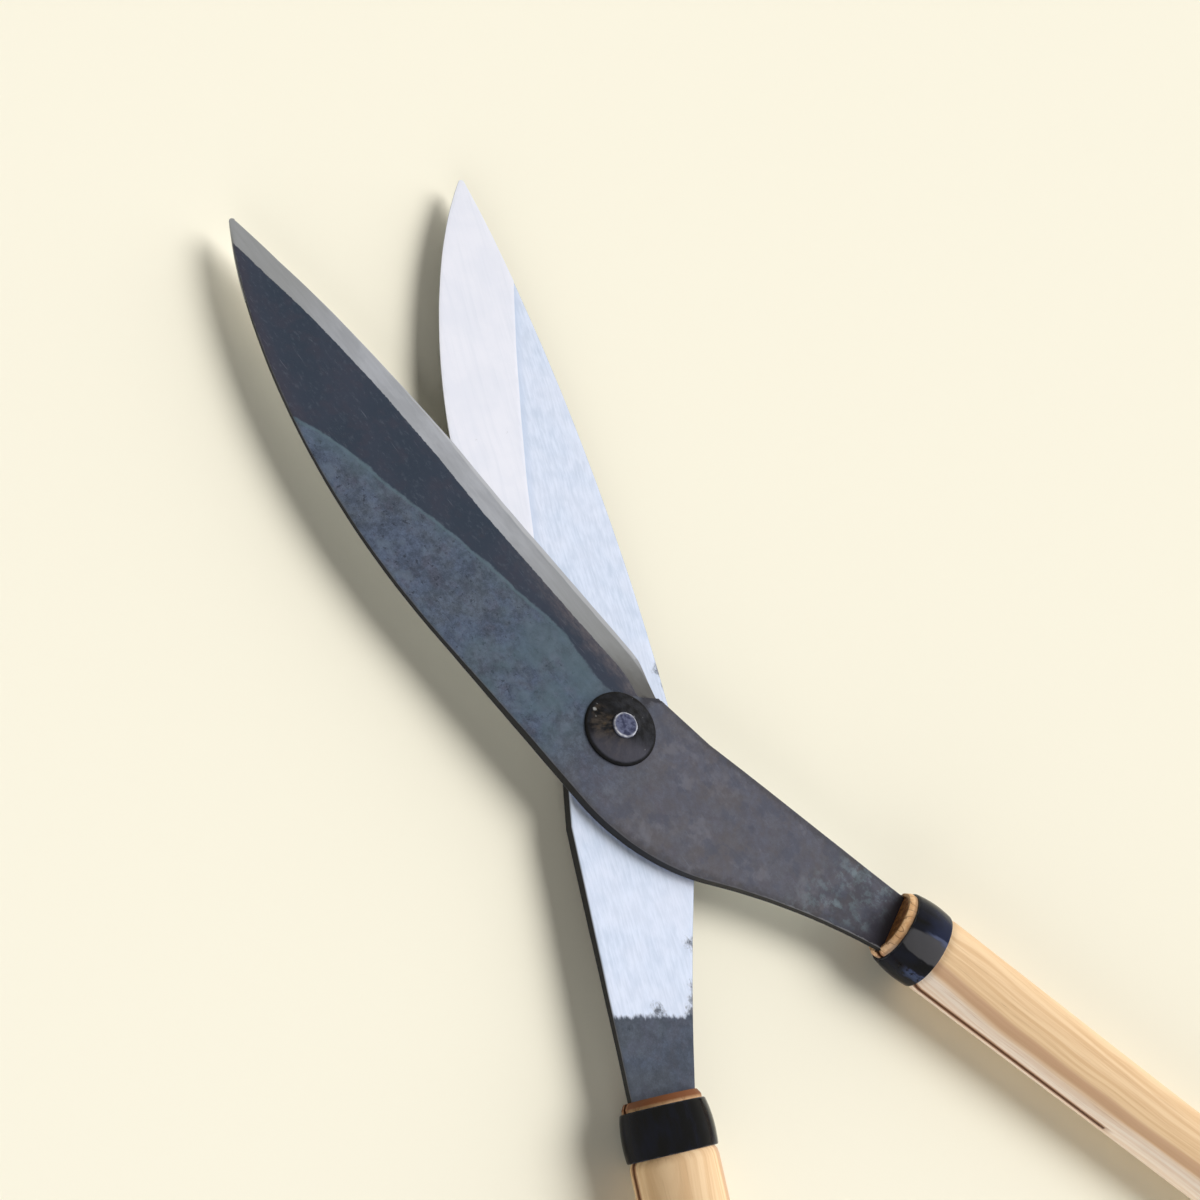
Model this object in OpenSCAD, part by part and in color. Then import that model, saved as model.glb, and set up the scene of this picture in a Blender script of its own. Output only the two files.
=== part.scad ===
// Thatching shears: two forged halves that turn on one riveted pin.
// Each half is a leaf-shaped blade, a pivot plate, a neck and a tang in a wooden handle.
// Millimetres. The pivot's axis is Z, the halves' inner faces meet at z = 0,
// and +X points between the tips of the open blades.

/* [Blades] */
// Distance from the pivot to the line where the tips are set out
blade_reach = 254; // [220:1:300]
// Radius of the tips
tip_r = 3; // [1:0.5:5]
// Half of the angle between the open blades at rest
half_opening = 12.26; // [10:0.01:16]
// Gap between the two inner faces
face_gap = 0.2; // [0.1:0.05:0.6]
// Thickness of the plates at the pivot
plate_t = 5.5; // [4.5:0.1:7]
// Thickness of a blade where its forged root ends
root_t = 3.8; // [3:0.1:4.4]
// Thickness of a blade at the tip
tip_t = 2; // [1.4:0.1:2.8]
// Distance from the pivot to the end of the forged root
root_x = 60; // [45:1:80]
// Width of the ground bevel where the blade is as thick as its root
bevel_w = 14; // [9:0.5:16]
// Thickness left at the cutting edges
edge_t = 0.35; // [0.2:0.05:0.6]
// Distance from the pivot to the heels of the cutting edges
heel_x = 17; // [12:1:26]

/* [Front blade outline] */
// Radius of the front blade's curved back
front_back_r = 343; // [320:1:400]
// Greatest height of the front blade's back over the pivot line
front_back_rise = 38.7; // [36:0.1:42]
// Distance of the back's highest point from the tip line
front_back_from_tip = 154.5; // [145:0.5:165]
// Radius of the front blade's cutting edge
front_edge_r = 1217; // [900:1:1600]
// Greatest depth of the front cutting edge under the pivot line
front_edge_rise = 28.2; // [26:0.1:31]
// Distance of the edge's deepest point from the tip line
front_edge_from_tip = 248; // [235:1:256]
// Depth of the notch behind the front heel, from the pivot line
front_notch = 23.5; // [22:0.1:25]

/* [Rear blade outline] */
// Radius of the rear blade's flat back
rear_back_r = 1090; // [980:1:1400]
// Greatest height of the rear blade's back over the pivot line
rear_back_rise = 27.6; // [27.4:0.1:29]
// Distance of the back's highest point from the tip line
rear_back_from_tip = 225; // [215:1:232]
// Radius of the rear blade's curved cutting edge
rear_edge_r = 357; // [330:1:400]
// Greatest depth of the rear cutting edge under the pivot line
rear_edge_rise = 36.7; // [34:0.1:40]
// Distance of the edge's deepest point from the tip line
rear_edge_from_tip = 153.5; // [145:0.5:165]
// Depth of the notch behind the rear heel, from the pivot line
rear_notch = 21.5; // [20:0.1:22]

/* [Edge steel] */
// Thickness of the steel strip welded to each inner face
steel_t = 1.2; // [0.8:0.1:1.5]
// Radius of the weld line between the steel and the soft iron
weld_r = 1315; // [1200:5:1500]
// Distance of the weld line's lowest point behind the pivot
weld_back = 113; // [100:1:125]
// Depth of that lowest point under the pivot line
weld_depth = 25.7; // [24:0.1:27]

/* [Necks] */
// Width of the necks where they enter the wood
neck_w = 24.6; // [20:0.1:26]
// Thickness of the necks where they enter the wood
neck_t = 3.8; // [3:0.1:5]
// Distance from the pivot to the end face of the wood, along the handle
wood_start = 133; // [120:1:150]
// Radius of the pivot plates' shoulder, front half
front_shoulder_r = 92.5; // [85:0.5:105]
// Height of the front shoulder over the pivot line
front_shoulder_rise = 31.2; // [30:0.1:33]
// Radius of the hollow side of the front neck
front_neck_r = 296; // [250:1:400]
// Angle by which the front handle is bent out of line with its blade
front_bend = 18.5; // [15:0.1:22]
// Distance from the pivot to the line of the front handle
front_offset = 7; // [5:0.1:9]
// Radius of the pivot plates' shoulder, rear half
rear_shoulder_r = 150; // [135:1:160]
// Height of the rear shoulder over the pivot line
rear_shoulder_rise = 27.3; // [26.8:0.1:27.5]
// Radius of the hollow side of the rear neck
rear_neck_r = 900; // [600:10:1400]
// Angle by which the rear handle is bent out of line with its blade
rear_bend = 3; // [1:0.1:6]
// Distance from the pivot to the line of the rear handle
rear_offset = 13.9; // [12:0.1:16]

/* [Tangs and saw cuts] */
// Length of the tangs inside the wood
tang_l = 96; // [60:1:110]
// Step in width from a neck to its tang, each side
tang_shoulder = 0.8; // [0.4:0.1:2]
// Step in thickness from a neck to its tang, each side
tang_drop = 0.2; // [0.1:0.05:0.4]
// Width of a tang at its end
tang_tip_w = 9; // [6:0.5:14]
// Thickness of a tang at its end
tang_tip_t = 1.8; // [1.4:0.1:2.6]
// Clearance round a tang in its pocket
tang_fit = 0.1; // [0.05:0.05:0.3]
// Spare width at the mouth of the pocket, on the neck's hollow side
mouth_spare = 2.5; // [2:0.1:3]
// Height of the saw cut that splits the wood for the tang
kerf_h = 1.2; // [0.8:0.1:1.4]
// Length of the saw cut
kerf_l = 118; // [112:1:160]

/* [Handles] */
// Length of the wooden handles
handle_l = 450; // [350:5:600]
// Half width of the wood behind the ferrule
grip_r = 16.4; // [16:0.1:18]
// Half width of the wood at its waist
waist_r = 15.4; // [13:0.1:16]
// Half width of the wood at the butt
butt_r = 17.4; // [16:0.1:20]
// Height of the handles' section as a share of its width
oval = 0.86; // [0.8:0.01:1]
// Width of the rounded rim at the butt
butt_round = 5; // [3:0.5:7]

/* [Ferrules] */
// Length of the ferrules
ferrule_l = 16.4; // [12:0.1:24]
// Length of wood that stands out of the ferrule towards the blade
wood_nose = 3.2; // [2:0.1:5]
// Half width of the wood inside the ferrule
seat_r = 14.9; // [14.4:0.1:15.2]
// Clearance between the wood and the ferrule
ferrule_fit = 0.05; // [0.03:0.01:0.1]
// Largest half width of the ferrule
ferrule_r = 17.2; // [17:0.1:18.5]
// Radius of the ferrule's barrel curve along the handle
ferrule_crown_r = 42; // [30:1:80]
// Distance of the ferrule's widest place from its blade side
ferrule_crown_x = 10.5; // [8:0.1:12]

/* [Pivot] */
// Radius of the pin's shank
pin_r = 4.8; // [4.2:0.05:5.2]
// Running clearance round the pin in the rear half
pin_fit = 0.05; // [0.03:0.01:0.09]
// Seating clearance round the pin in the front half and the washers
seat_fit = 0.02; // [0.01:0.01:0.05]
// Axial clearance between the rear half and the rear washer
end_play = 0.1; // [0.05:0.05:0.3]
// Radius of the front washer
washer_r = 15; // [13:0.5:17]
// Thickness of the front washer's sheet
washer_t = 1.3; // [1:0.1:1.8]
// Height of the front washer's cone
washer_rise = 3.4; // [2.4:0.1:4]
// Radius of the pin's hammered front end
peen_r = 5.2; // [5.2:0.1:6.5]
// Height of the hammered end over the washer
peen_h = 1.3; // [1:0.1:2]
// Radius of the pin's rear head
head_r = 8.5; // [7.5:0.5:11]
// Height of the pin's rear head
head_h = 3.4; // [2.6:0.1:5]
// Radius of the rear washer
rear_washer_r = 12; // [11:0.5:15]
// Thickness of the rear washer
rear_washer_t = 1.5; // [1:0.1:2.5]

/* [Hidden] */
arc_fn = 720;
round_fn = 96;
margin = 20;
// How far cuts and laps start before the face they open
lead = 0.07 * seat_r;
// The nose of the wood: its end radius and the length of its rounding
nose_r = 0.92 * seat_r;
nose_l = 0.08 * seat_r;
// Wood that the last saw cut takes off the butt
butt_trim = 0.06 * butt_round;
face_z = face_gap / 2;
outer_z = face_z + plate_t;
handle_z = face_z + neck_t / 2;
neck_entry = 6;
neck_line_start = 34;
neck_thin_start = 45;
neck_thin_end = 0.84 * wood_start;
front_shoulder_x = -4.5;
rear_shoulder_x = -5;
notch_x = -1;
rim_w = 1.6;
tip_steps = 8;
lap = 4;
blend = 0.1;
steel_start = heel_x + 1.5;
tang_start = wood_start + neck_entry;
tang_w = neck_w - 2 * tang_shoulder;
tang_t = neck_t - 2 * tang_drop;
ferrule_start = wood_start + wood_nose;
ferrule_end = ferrule_start + ferrule_l;
cone_top_z = outer_z + washer_rise + washer_t / 2;
rear_washer_z = outer_z + end_play;
head_z = rear_washer_z + rear_washer_t;

// One half's outline: arcs of the back, the edge and the shoulder as [centre, radius],
// the notch behind the heel, the bend, the handle's offset and the neck's hollow radius
front_half = [
    [[blade_reach - front_back_from_tip, front_back_rise - front_back_r], front_back_r],
    [[blade_reach - front_edge_from_tip, front_edge_r - front_edge_rise], front_edge_r],
    [[front_shoulder_x, front_shoulder_rise - front_shoulder_r], front_shoulder_r],
    front_notch, front_bend, front_offset, front_neck_r];
rear_half = [
    [[blade_reach - rear_back_from_tip, rear_back_rise - rear_back_r], rear_back_r],
    [[blade_reach - rear_edge_from_tip, rear_edge_r - rear_edge_rise], rear_edge_r],
    [[rear_shoulder_x, rear_shoulder_rise - rear_shoulder_r], rear_shoulder_r],
    rear_notch, rear_bend, rear_offset, rear_neck_r];

function back_arc(half) = half[0];
function edge_arc(half) = half[1];
function shoulder_arc(half) = half[2];
function notch(half) = half[3];
function bend(half) = half[4];
function offset_of(half) = half[5];
function neck_r(half) = half[6];

function turned(p, a) = [p.x * cos(a) - p.y * sin(a), p.x * sin(a) + p.y * cos(a)];

// The point where two circles cross, on the chosen side of the line between their centres
function circles_cross(p, p_r, q, q_r, side) =
    let (gap = norm(q - p), e = (q - p) / gap,
         along = (p_r * p_r - q_r * q_r + gap * gap) / (2 * gap),
         across = sqrt(max(0, p_r * p_r - along * along)))
    p + along * e + side * across * [-e.y, e.x];

// The upward normal of the line that touches the shoulder and the back
function back_line_normal(half) =
    let (c = shoulder_arc(half), b = back_arc(half), way = b[0] - c[0],
         turn = acos(max(-1, (c[1] - b[1]) / norm(way))), a = atan2(way.y, way.x) + turn)
    [cos(a), sin(a)];
function on_arc(arc, n) = arc[0] + arc[1] * n;

// A point given along and across the handle's line, in the blade's own frame
function at_neck(half, along, across) = turned([along, offset_of(half) + across], 180 + bend(half));

// The y of the cutting edge at a distance x from the pivot
function edge_y(half, x) =
    let (e = edge_arc(half)) e[0].y - sqrt(e[1] * e[1] - pow(x - e[0].x, 2));

// Upright solids that are taller than any plate: an arc's full disc and an outline
module disc(arc) {
    translate([arc[0].x, arc[0].y, -margin]) cylinder(r = arc[1], h = 3 * margin, $fn = arc_fn);
}

module prism(points) {
    translate([0, 0, -margin]) linear_extrude(height = 3 * margin) polygon(points);
}

// The leaf of the blade from behind its heel to its rounded tip, still without its edge.
// It reaches back under the plate's straight top, which lies a hair below the tangent.
module leaf(half) {
    b = back_arc(half);
    e = edge_arc(half);
    up = back_line_normal(half);
    reach = on_arc(b, up) - 1.4 * margin * [up.y, -up.x];
    tip_c = circles_cross(b[0], b[1] - tip_r, e[0], e[1] - tip_r, -1);
    to_back = tip_c - b[0];
    to_edge = tip_c - e[0];
    from_a = atan2(to_edge.y, to_edge.x);
    to_a = atan2(to_back.y, to_back.x);
    tip = [for (i = [0 : tip_steps]) let (a = from_a + (to_a - from_a) * i / tip_steps)
        tip_c + tip_r * [cos(a), sin(a)]];
    intersection() {
        disc(b);
        prism(concat([[heel_x + lap, -3 * margin], [tip[0].x - margin, -3 * margin],
                      tip[0] + 2 * (tip[0] - tip[1])], [for (i = [1 : tip_steps - 1]) tip[i]],
                     [tip[tip_steps] + 2 * (tip[tip_steps] - tip[tip_steps - 1]),
                      [tip[0].x - margin, 3 * margin],
                      reach + margin * up, reach - margin / 2 * up, [heel_x + lap, 0]]));
    }
}

// What lies outside the cutting edge's arc, from the notch on
module edge_waste(half) {
    difference() {
        translate([notch_x, -10 * margin, -margin])
            cube([2 * blade_reach, 10 * margin, 3 * margin]);
        translate([0, 0, -1]) disc(edge_arc(half));
        translate([0, 0, 1]) disc(edge_arc(half));
    }
}

// The pivot plate and the neck, as far as the neck's full width goes into the wood.
// The round shoulder stands a hair over the lines that it runs into.
module plate(half) {
    shoulder = shoulder_arc(half);
    up = back_line_normal(half);
    back_point = on_arc(back_arc(half), up) - blend * up;
    top = on_arc(shoulder, up) - blend * up;
    inner_end = at_neck(half, tang_start, -neck_w / 2);
    hollow_c = circles_cross(shoulder[0], shoulder[1] + neck_r(half) - blend,
                             inner_end, neck_r(half), -1);
    side = (hollow_c - shoulder[0]) / norm(hollow_c - shoulder[0]);
    side_point = on_arc(shoulder, side);
    low_side = turned(side, lap * 2);
    past_up = turned(up, -lap * 2);
    heel = [heel_x, edge_y(half, heel_x)];
    notch_point = [notch_x, -notch(half)];
    step = margin / 4;
    difference() {
        prism([heel + 0.6 * (heel - notch_point),
               notch_point,
               at_neck(half, neck_line_start, neck_w / 2),
               at_neck(half, tang_start, neck_w / 2),
               at_neck(half, tang_start, -neck_w / 2 - step),
               side_point + step * side,
               side_point - step * side,
               top - step * up,
               top,
               back_point,
               back_point - step * up,
               [back_point.x + margin, 0]]);
        disc([hollow_c, neck_r(half)]);
    }
    intersection() {
        prism([shoulder[0] + 0.9 * shoulder[1] * low_side, shoulder[0] + 1.2 * shoulder[1] * low_side,
               shoulder[0] + 1.2 * shoulder[1] * (side + up) / norm(side + up),
               shoulder[0] + 1.2 * shoulder[1] * past_up, shoulder[0] + 0.9 * shoulder[1] * past_up]);
        disc(shoulder);
    }
}

// Turns and moves a solid that was made along X onto the line of the handle
module along_handle(half) {
    rotate([0, 0, 180 + bend(half)]) translate([0, offset_of(half), handle_z]) children();
}

// The space between the inner face and the outer face, which falls away to the tip
// and to the neck
module blade_thickness() {
    translate([0, 5 * margin, 0]) rotate([90, 0, 0]) linear_extrude(height = 10 * margin)
        polygon([[-2 * wood_start, face_z], [2 * blade_reach, face_z],
                 [2 * blade_reach, face_z + tip_t], [blade_reach, face_z + tip_t],
                 [root_x, face_z + root_t], [heel_x, outer_z], [-neck_thin_start, outer_z],
                 [-neck_thin_end, face_z + neck_t], [-2 * wood_start, face_z + neck_t]]);
}

// The space that is ground away outside the bevel: a cone round the edge's own centre
module bevel_cut(half) {
    e = edge_arc(half);
    slope = (root_t - edge_t) / bevel_w;
    over = 3;
    intersection() {
        translate([e[0].x, e[0].y, 0]) rotate_extrude($fn = arc_fn)
            polygon([[e[1] + over, face_z + edge_t - over * slope],
                     [e[1] + over, outer_z + margin],
                     [e[1] - bevel_w - margin, outer_z + margin],
                     [e[1] - bevel_w - margin, face_z + edge_t + (bevel_w + margin) * slope]]);
        prism([[notch_x - 2, -notch(half) - 4], [notch_x - 2, -5 * margin],
               [2 * blade_reach, -5 * margin], [2 * blade_reach, 5 * margin],
               [3 * margin, 2 * margin], [notch_x + 7, 8 - notch(half)]]);
    }
}

// The blade, pivot plate and neck of one half as one thickness, without the tang
module half_body(half) {
    difference() {
        intersection() {
            blade_thickness();
            union() {
                leaf(half);
                plate(half);
            }
        }
        edge_waste(half);
        bevel_cut(half);
    }
}

// The part of the inner face that the steel strip covers
module steel_space(half) {
    difference() {
        translate([steel_start, -5 * margin, face_z - 1])
            cube([2 * blade_reach, 10 * margin, 1 + steel_t]);
        disc([[-weld_back, weld_r - weld_depth], weld_r]);
    }
}

// A bar made along X that gets narrower and thinner from its start to the tang's end
module taper_bar(start, end, start_w, start_t, grow) {
    intersection() {
        translate([0, 2 * margin, 0]) rotate([90, 0, 0]) linear_extrude(height = 4 * margin)
            polygon([[start, -start_t / 2 - grow], [end, -tang_tip_t / 2 - grow],
                     [end, tang_tip_t / 2 + grow], [start, start_t / 2 + grow]]);
        translate([0, 0, -margin]) linear_extrude(height = 2 * margin)
            polygon([[start, -start_w / 2 - grow], [end, -tang_tip_w / 2 - grow],
                     [end, tang_tip_w / 2 + grow], [start, start_w / 2 + grow]]);
    }
}

// The pocket in the wood: the neck's mouth, widened on the neck's hollow side, and the tang's bed
module pocket() {
    mouth_t = neck_t + 2 * tang_fit;
    translate([0, 0, -mouth_t / 2]) linear_extrude(height = mouth_t)
        polygon([[wood_start - lead, neck_w / 2 + tang_fit],
                 [tang_start + tang_fit, neck_w / 2 + tang_fit],
                 [tang_start + tang_fit, -neck_w / 2 - tang_fit],
                 [wood_start - lead, -neck_w / 2 - mouth_spare]]);
    taper_bar(tang_start - lead, wood_start + tang_l + tang_fit, tang_w, tang_t, tang_fit);
}

module iron(half, hole_r) {
    difference() {
        union() {
            half_body(half);
            along_handle(half) taper_bar(tang_start - lead, wood_start + tang_l, tang_w, tang_t, 0);
        }
        steel_space(half);
        translate([0, 0, -1]) cylinder(r = hole_r, h = outer_z + 2, $fn = round_fn);
    }
}

module edge_steel(half) {
    intersection() {
        half_body(half);
        steel_space(half);
    }
}

// A ring round X with a barrel-curved outside
module ferrule(half) {
    steps = 10;
    crown_c = ferrule_r - ferrule_crown_r;
    outside = [for (i = [0 : steps]) let (x = i * ferrule_l / steps)
        [crown_c + sqrt(pow(ferrule_crown_r, 2) - pow(x - ferrule_crown_x, 2)), ferrule_start + x]];
    along_handle(half) scale([1, 1, oval]) rotate([90, 0, 90]) rotate_extrude($fn = arc_fn / 4)
        polygon(concat(outside, [[seat_r + ferrule_fit, ferrule_end],
                                 [seat_r + ferrule_fit, ferrule_start]]));
}

// The wood: a nose and a seat for the ferrule, a waisted grip and a rounded butt sawn flat
module handle(half) {
    handle_end = wood_start + handle_l;
    waist_x = wood_start + 0.45 * handle_l;
    butt = [for (a = [0 : 15 : 90]) [butt_r - butt_round * (1 - cos(a)),
                                     handle_end + butt_trim - butt_round * (1 - sin(a))]];
    profile = concat([[0, wood_start], [nose_r, wood_start],
                      [seat_r - nose_l / 3, wood_start + nose_l / 3],
                      [seat_r, wood_start + nose_l], [seat_r, ferrule_end + ferrule_fit],
                      [grip_r, ferrule_end + ferrule_fit], [waist_r, waist_x]],
                     butt, [[0, handle_end + butt_trim]]);
    along_handle(half) difference() {
        scale([1, 1, oval]) rotate([90, 0, 90]) rotate_extrude($fn = arc_fn / 4) polygon(profile);
        translate([wood_start - lead, -2 * margin, -kerf_h / 2])
            cube([kerf_l + lead, 4 * margin, kerf_h]);
        pocket();
        translate([handle_end, -2 * margin, -2 * margin]) cube([margin, 4 * margin, 4 * margin]);
    }
}

// The front half keeps its own turn, the rear half lies face to face with it
module front_place() {
    rotate([0, 0, half_opening]) children();
}

module rear_place() {
    rotate([180, 0, -half_opening]) children();
}

module front_blade() {
    color([0.36, 0.39, 0.44]) front_place() iron(front_half, pin_r + seat_fit);
}

module front_edge_steel() {
    color([0.62, 0.63, 0.66]) front_place() edge_steel(front_half);
}

module front_ferrule() {
    color([0.12, 0.13, 0.17]) front_place() ferrule(front_half);
}

module front_handle() {
    color([0.86, 0.73, 0.58]) front_place() handle(front_half);
}

module rear_blade() {
    color([0.82, 0.86, 0.93]) rear_place() iron(rear_half, pin_r + pin_fit);
}

module rear_edge_steel() {
    color([0.89, 0.9, 0.93]) rear_place() edge_steel(rear_half);
}

module rear_ferrule() {
    color([0.12, 0.13, 0.17]) rear_place() ferrule(rear_half);
}

module rear_handle() {
    color([0.86, 0.73, 0.58]) rear_place() handle(rear_half);
}

// The rivet: a domed rear head, the shank and the end hammered over the front washer
module pivot_pin() {
    ball_r = (head_r * head_r + head_h * head_h) / (2 * head_h);
    color([0.66, 0.68, 0.74]) {
        translate([0, 0, -head_z]) cylinder(r = pin_r, h = head_z + cone_top_z, $fn = round_fn);
        translate([0, 0, cone_top_z]) rotate_extrude($fn = round_fn)
            polygon([[0, 0], [peen_r, 0], [peen_r, 0.35 * peen_h], [peen_r - 0.3, 0.8 * peen_h],
                     [peen_r - 0.9, peen_h], [0, peen_h + 0.1]]);
        intersection() {
            translate([0, 0, -head_z - head_h + ball_r]) sphere(r = ball_r, $fn = round_fn);
            translate([0, 0, -head_z - head_h]) cylinder(r = 2 * head_r, h = head_h, $fn = round_fn);
        }
    }
}

// A cone of sheet iron with a narrow flat rim, dished over the plate
module front_washer() {
    hole_r = pin_r + seat_fit;
    color([0.16, 0.15, 0.15]) translate([0, 0, outer_z]) rotate_extrude($fn = arc_fn / 4)
        polygon([[washer_r, 0], [washer_r, 0.6 * washer_t], [washer_r - 0.5, washer_t],
                 [hole_r, washer_rise + washer_t / 2],
                 [hole_r, washer_rise - washer_t / 2],
                 [washer_r - rim_w, 0]]);
}

module rear_washer() {
    color([0.3, 0.31, 0.34]) translate([0, 0, -head_z]) difference() {
        cylinder(r = rear_washer_r, h = rear_washer_t, $fn = round_fn);
        translate([0, 0, -1]) cylinder(r = pin_r + seat_fit, h = rear_washer_t + 2, $fn = round_fn);
    }
}

front_blade();
front_edge_steel();
front_ferrule();
front_handle();
rear_blade();
rear_edge_steel();
rear_ferrule();
rear_handle();
pivot_pin();
front_washer();
rear_washer();
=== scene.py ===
import math
from types import SimpleNamespace

import bmesh
import bpy
import numpy as np
from mathutils import Matrix, Vector, noise
from mathutils.geometry import delaunay_2d_cdt
from mathutils.kdtree import KDTree


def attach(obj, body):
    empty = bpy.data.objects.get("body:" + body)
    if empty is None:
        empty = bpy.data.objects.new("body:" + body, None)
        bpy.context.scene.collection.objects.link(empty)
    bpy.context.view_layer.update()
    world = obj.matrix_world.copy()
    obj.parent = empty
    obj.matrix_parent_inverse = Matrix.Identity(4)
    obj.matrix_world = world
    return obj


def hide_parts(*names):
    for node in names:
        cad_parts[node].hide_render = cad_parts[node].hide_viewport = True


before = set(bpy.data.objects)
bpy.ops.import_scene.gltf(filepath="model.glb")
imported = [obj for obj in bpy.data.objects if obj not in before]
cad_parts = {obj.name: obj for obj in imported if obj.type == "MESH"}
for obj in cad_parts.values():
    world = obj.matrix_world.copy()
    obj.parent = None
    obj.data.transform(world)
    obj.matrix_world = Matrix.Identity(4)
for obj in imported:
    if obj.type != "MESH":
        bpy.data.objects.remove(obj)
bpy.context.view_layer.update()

MM = 0.001

# Sizes of the shears in millimetres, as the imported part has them. Z is 0 between the two halves,
# and distances along a neck or handle count from the pivot.
HALF_OPENING = 12.26  # degrees
PACKED_TIP_R = 3.0
FACE_Z = 0.1  # a half's inner face
PLATE_T = 5.5  # a half's thickness at the pivot
OUTER_Z = FACE_Z + PLATE_T
EDGE_T = 0.35
STEEL_T = 1.2
HEEL_X = 17.0
NOTCH_X = -1.0
NECK_W = 24.6
NECK_T = 3.8
WOOD_START = 133.0
TANG_START = 139.0
SAW_CUT_L = 118.0
HANDLE_L = 450.0
HANDLE_Z = FACE_Z + NECK_T / 2
OVAL = 0.86  # thickness of handle and ferrule over their width
FERRULE_START = 136.2
FERRULE_L = 16.4
FERRULE_END = FERRULE_START + FERRULE_L
FERRULE_R = 17.2
CROWN_R = 42.0  # radius of the ferrule's barrel shape, and where it is widest
CROWN_X = 10.5
PIN_R = 4.8
WASHER_R = 15.0
WASHER_T = 1.3
WASHER_RISE = 3.4
WASHER_TOP = OUTER_Z + WASHER_RISE + WASHER_T / 2
REAR_FACE = OUTER_Z + 0.1  # depth of the rear washer's upper face, with the pin's end play
REAR_WASHER_R = 12.0
REAR_WASHER_T = 1.5
HEAD_R = 8.5
HEAD_H = 3.4

# Sizes of the looks alone, in millimetres.
TIP_R = 1.4
TIP_SHIFT_L = 45.0  # length over which the finer tip is drawn back
NEAR_TIP_X = 200.0
STEEL_START = HEEL_X + 1.5
STEEL_PROUD = 0.03
BORE_R = PIN_R + 0.03
STEP_L = 0.5  # width of the step where the bevel stops
KERF = 1.6
SEAT_R = 14.88  # wood under the ferrule
FERRULE_BORE_R = 14.96
DISH = 0.9  # depth and radius of the hollow end by the neck
DISH_R = 12.9
IRON_SPACING = 1.25  # distance between a surface's points
STEEL_SPACING = 1.6

# One half's outline in the plan of its own blade: the pivot is at (0, 0), +X runs to the tip,
# +Y to the back. Arcs are (centre, radius). Nicks are dark places (x, y, radius): the dark patch by the
# heel, and the chips and scale left on the bright face.
FRONT = SimpleNamespace(
    back=((99.5, -304.3), 343.0), edge=((6.0, 1188.8), 1217.0), shoulder=((-4.5, -61.3), 92.5),
    notch=23.5, bend=18.5, offset=7.0, hollow_r=296.0, honed=1.0, seed=3.0, nicks=[(2.8, -17.0, 2.4)])
REAR = SimpleNamespace(
    back=((29.0, -1062.4), 1090.0), edge=((100.5, 320.3), 357.0), shoulder=((-5.0, -122.7), 150.0),
    notch=21.5, bend=3.0, offset=13.9, hollow_r=900.0, honed=0.0, seed=11.0,
    nicks=[(23.6, 28.2, 3.8), (17.4, 29.2, 3.2), (-83.4, 7.4, 3.4), (-103.6, -13.7, 3.4),
           (-107.4, 1.0, 4.6), (-103.0, 2.8, 3.8), (-98.5, 4.2, 3.2), (-107.0, -27.0, 2.6)])

FRONT_PLACE = Matrix.Rotation(math.radians(HALF_OPENING), 4, "Z")
REAR_PLACE = (Matrix.Rotation(math.radians(-HALF_OPENING), 4, "Z")
              @ Matrix.Rotation(math.pi, 4, "X"))
# From a turned piece's own frame, with +X along its axis, to the pivot's.
TO_Z = Matrix.Rotation(math.radians(-90), 4, "Y")


def handle_place(half, place):
    """From a handle's own frame, with +X along the wood, to the part's frame."""
    return (place @ Matrix.Rotation(math.radians(180 + half.bend), 4, "Z")
            @ Matrix.Translation((0, half.offset, HANDLE_Z)))


def new_object(name, data):
    """An object in the scene."""
    made = bpy.data.objects.new(name, data)
    bpy.context.scene.collection.objects.link(made)
    return made


# The camera's place in metres and its axes, from the outlines of the blades and the pin.
CAMERA_AT = (-0.071838, 0.308771, 0.501875)
CAMERA_RIGHT = (-0.441866, -0.795149, 0.415322)
CAMERA_DOWN = (-0.874199, 0.277769, -0.398271)
CAMERA_AHEAD = (0.201321, -0.539057, -0.817855)
CAMERA_LENS = 46.255


def make_camera():
    """The photograph's camera."""
    data = bpy.data.cameras.new("camera")
    data.lens = CAMERA_LENS
    data.sensor_width = 36
    data.clip_start = 0.01
    data.clip_end = 50
    camera = new_object("camera", data)
    turn = Matrix((CAMERA_RIGHT, -Vector(CAMERA_DOWN), -Vector(CAMERA_AHEAD))).transposed()
    camera.matrix_world = Matrix.Translation(CAMERA_AT) @ turn.to_4x4()
    bpy.context.scene.camera = camera


make_camera()


def rgb(red, green, blue):
    """A linear colour from the display values 0 to 255."""
    def linear(v):
        v /= 255
        return v / 12.92 if v <= 0.04045 else ((v + 0.055) / 1.055) ** 2.4
    return (linear(red), linear(green), linear(blue), 1.0)


# Shader building blocks

class Value:
    """What comes out of a node, with the arithmetic of a plain number."""

    def __init__(self, shading, socket):
        self.shading, self.socket = shading, socket

    def __add__(self, other):
        return self.shading.math("ADD", self, other)

    def __sub__(self, other):
        return self.shading.math("SUBTRACT", self, other)

    def __rsub__(self, other):
        return self.shading.math("SUBTRACT", other, self)

    def __mul__(self, other):
        return self.shading.math("MULTIPLY", self, other)

    def __truediv__(self, other):
        return self.shading.math("DIVIDE", self, other)


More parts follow.
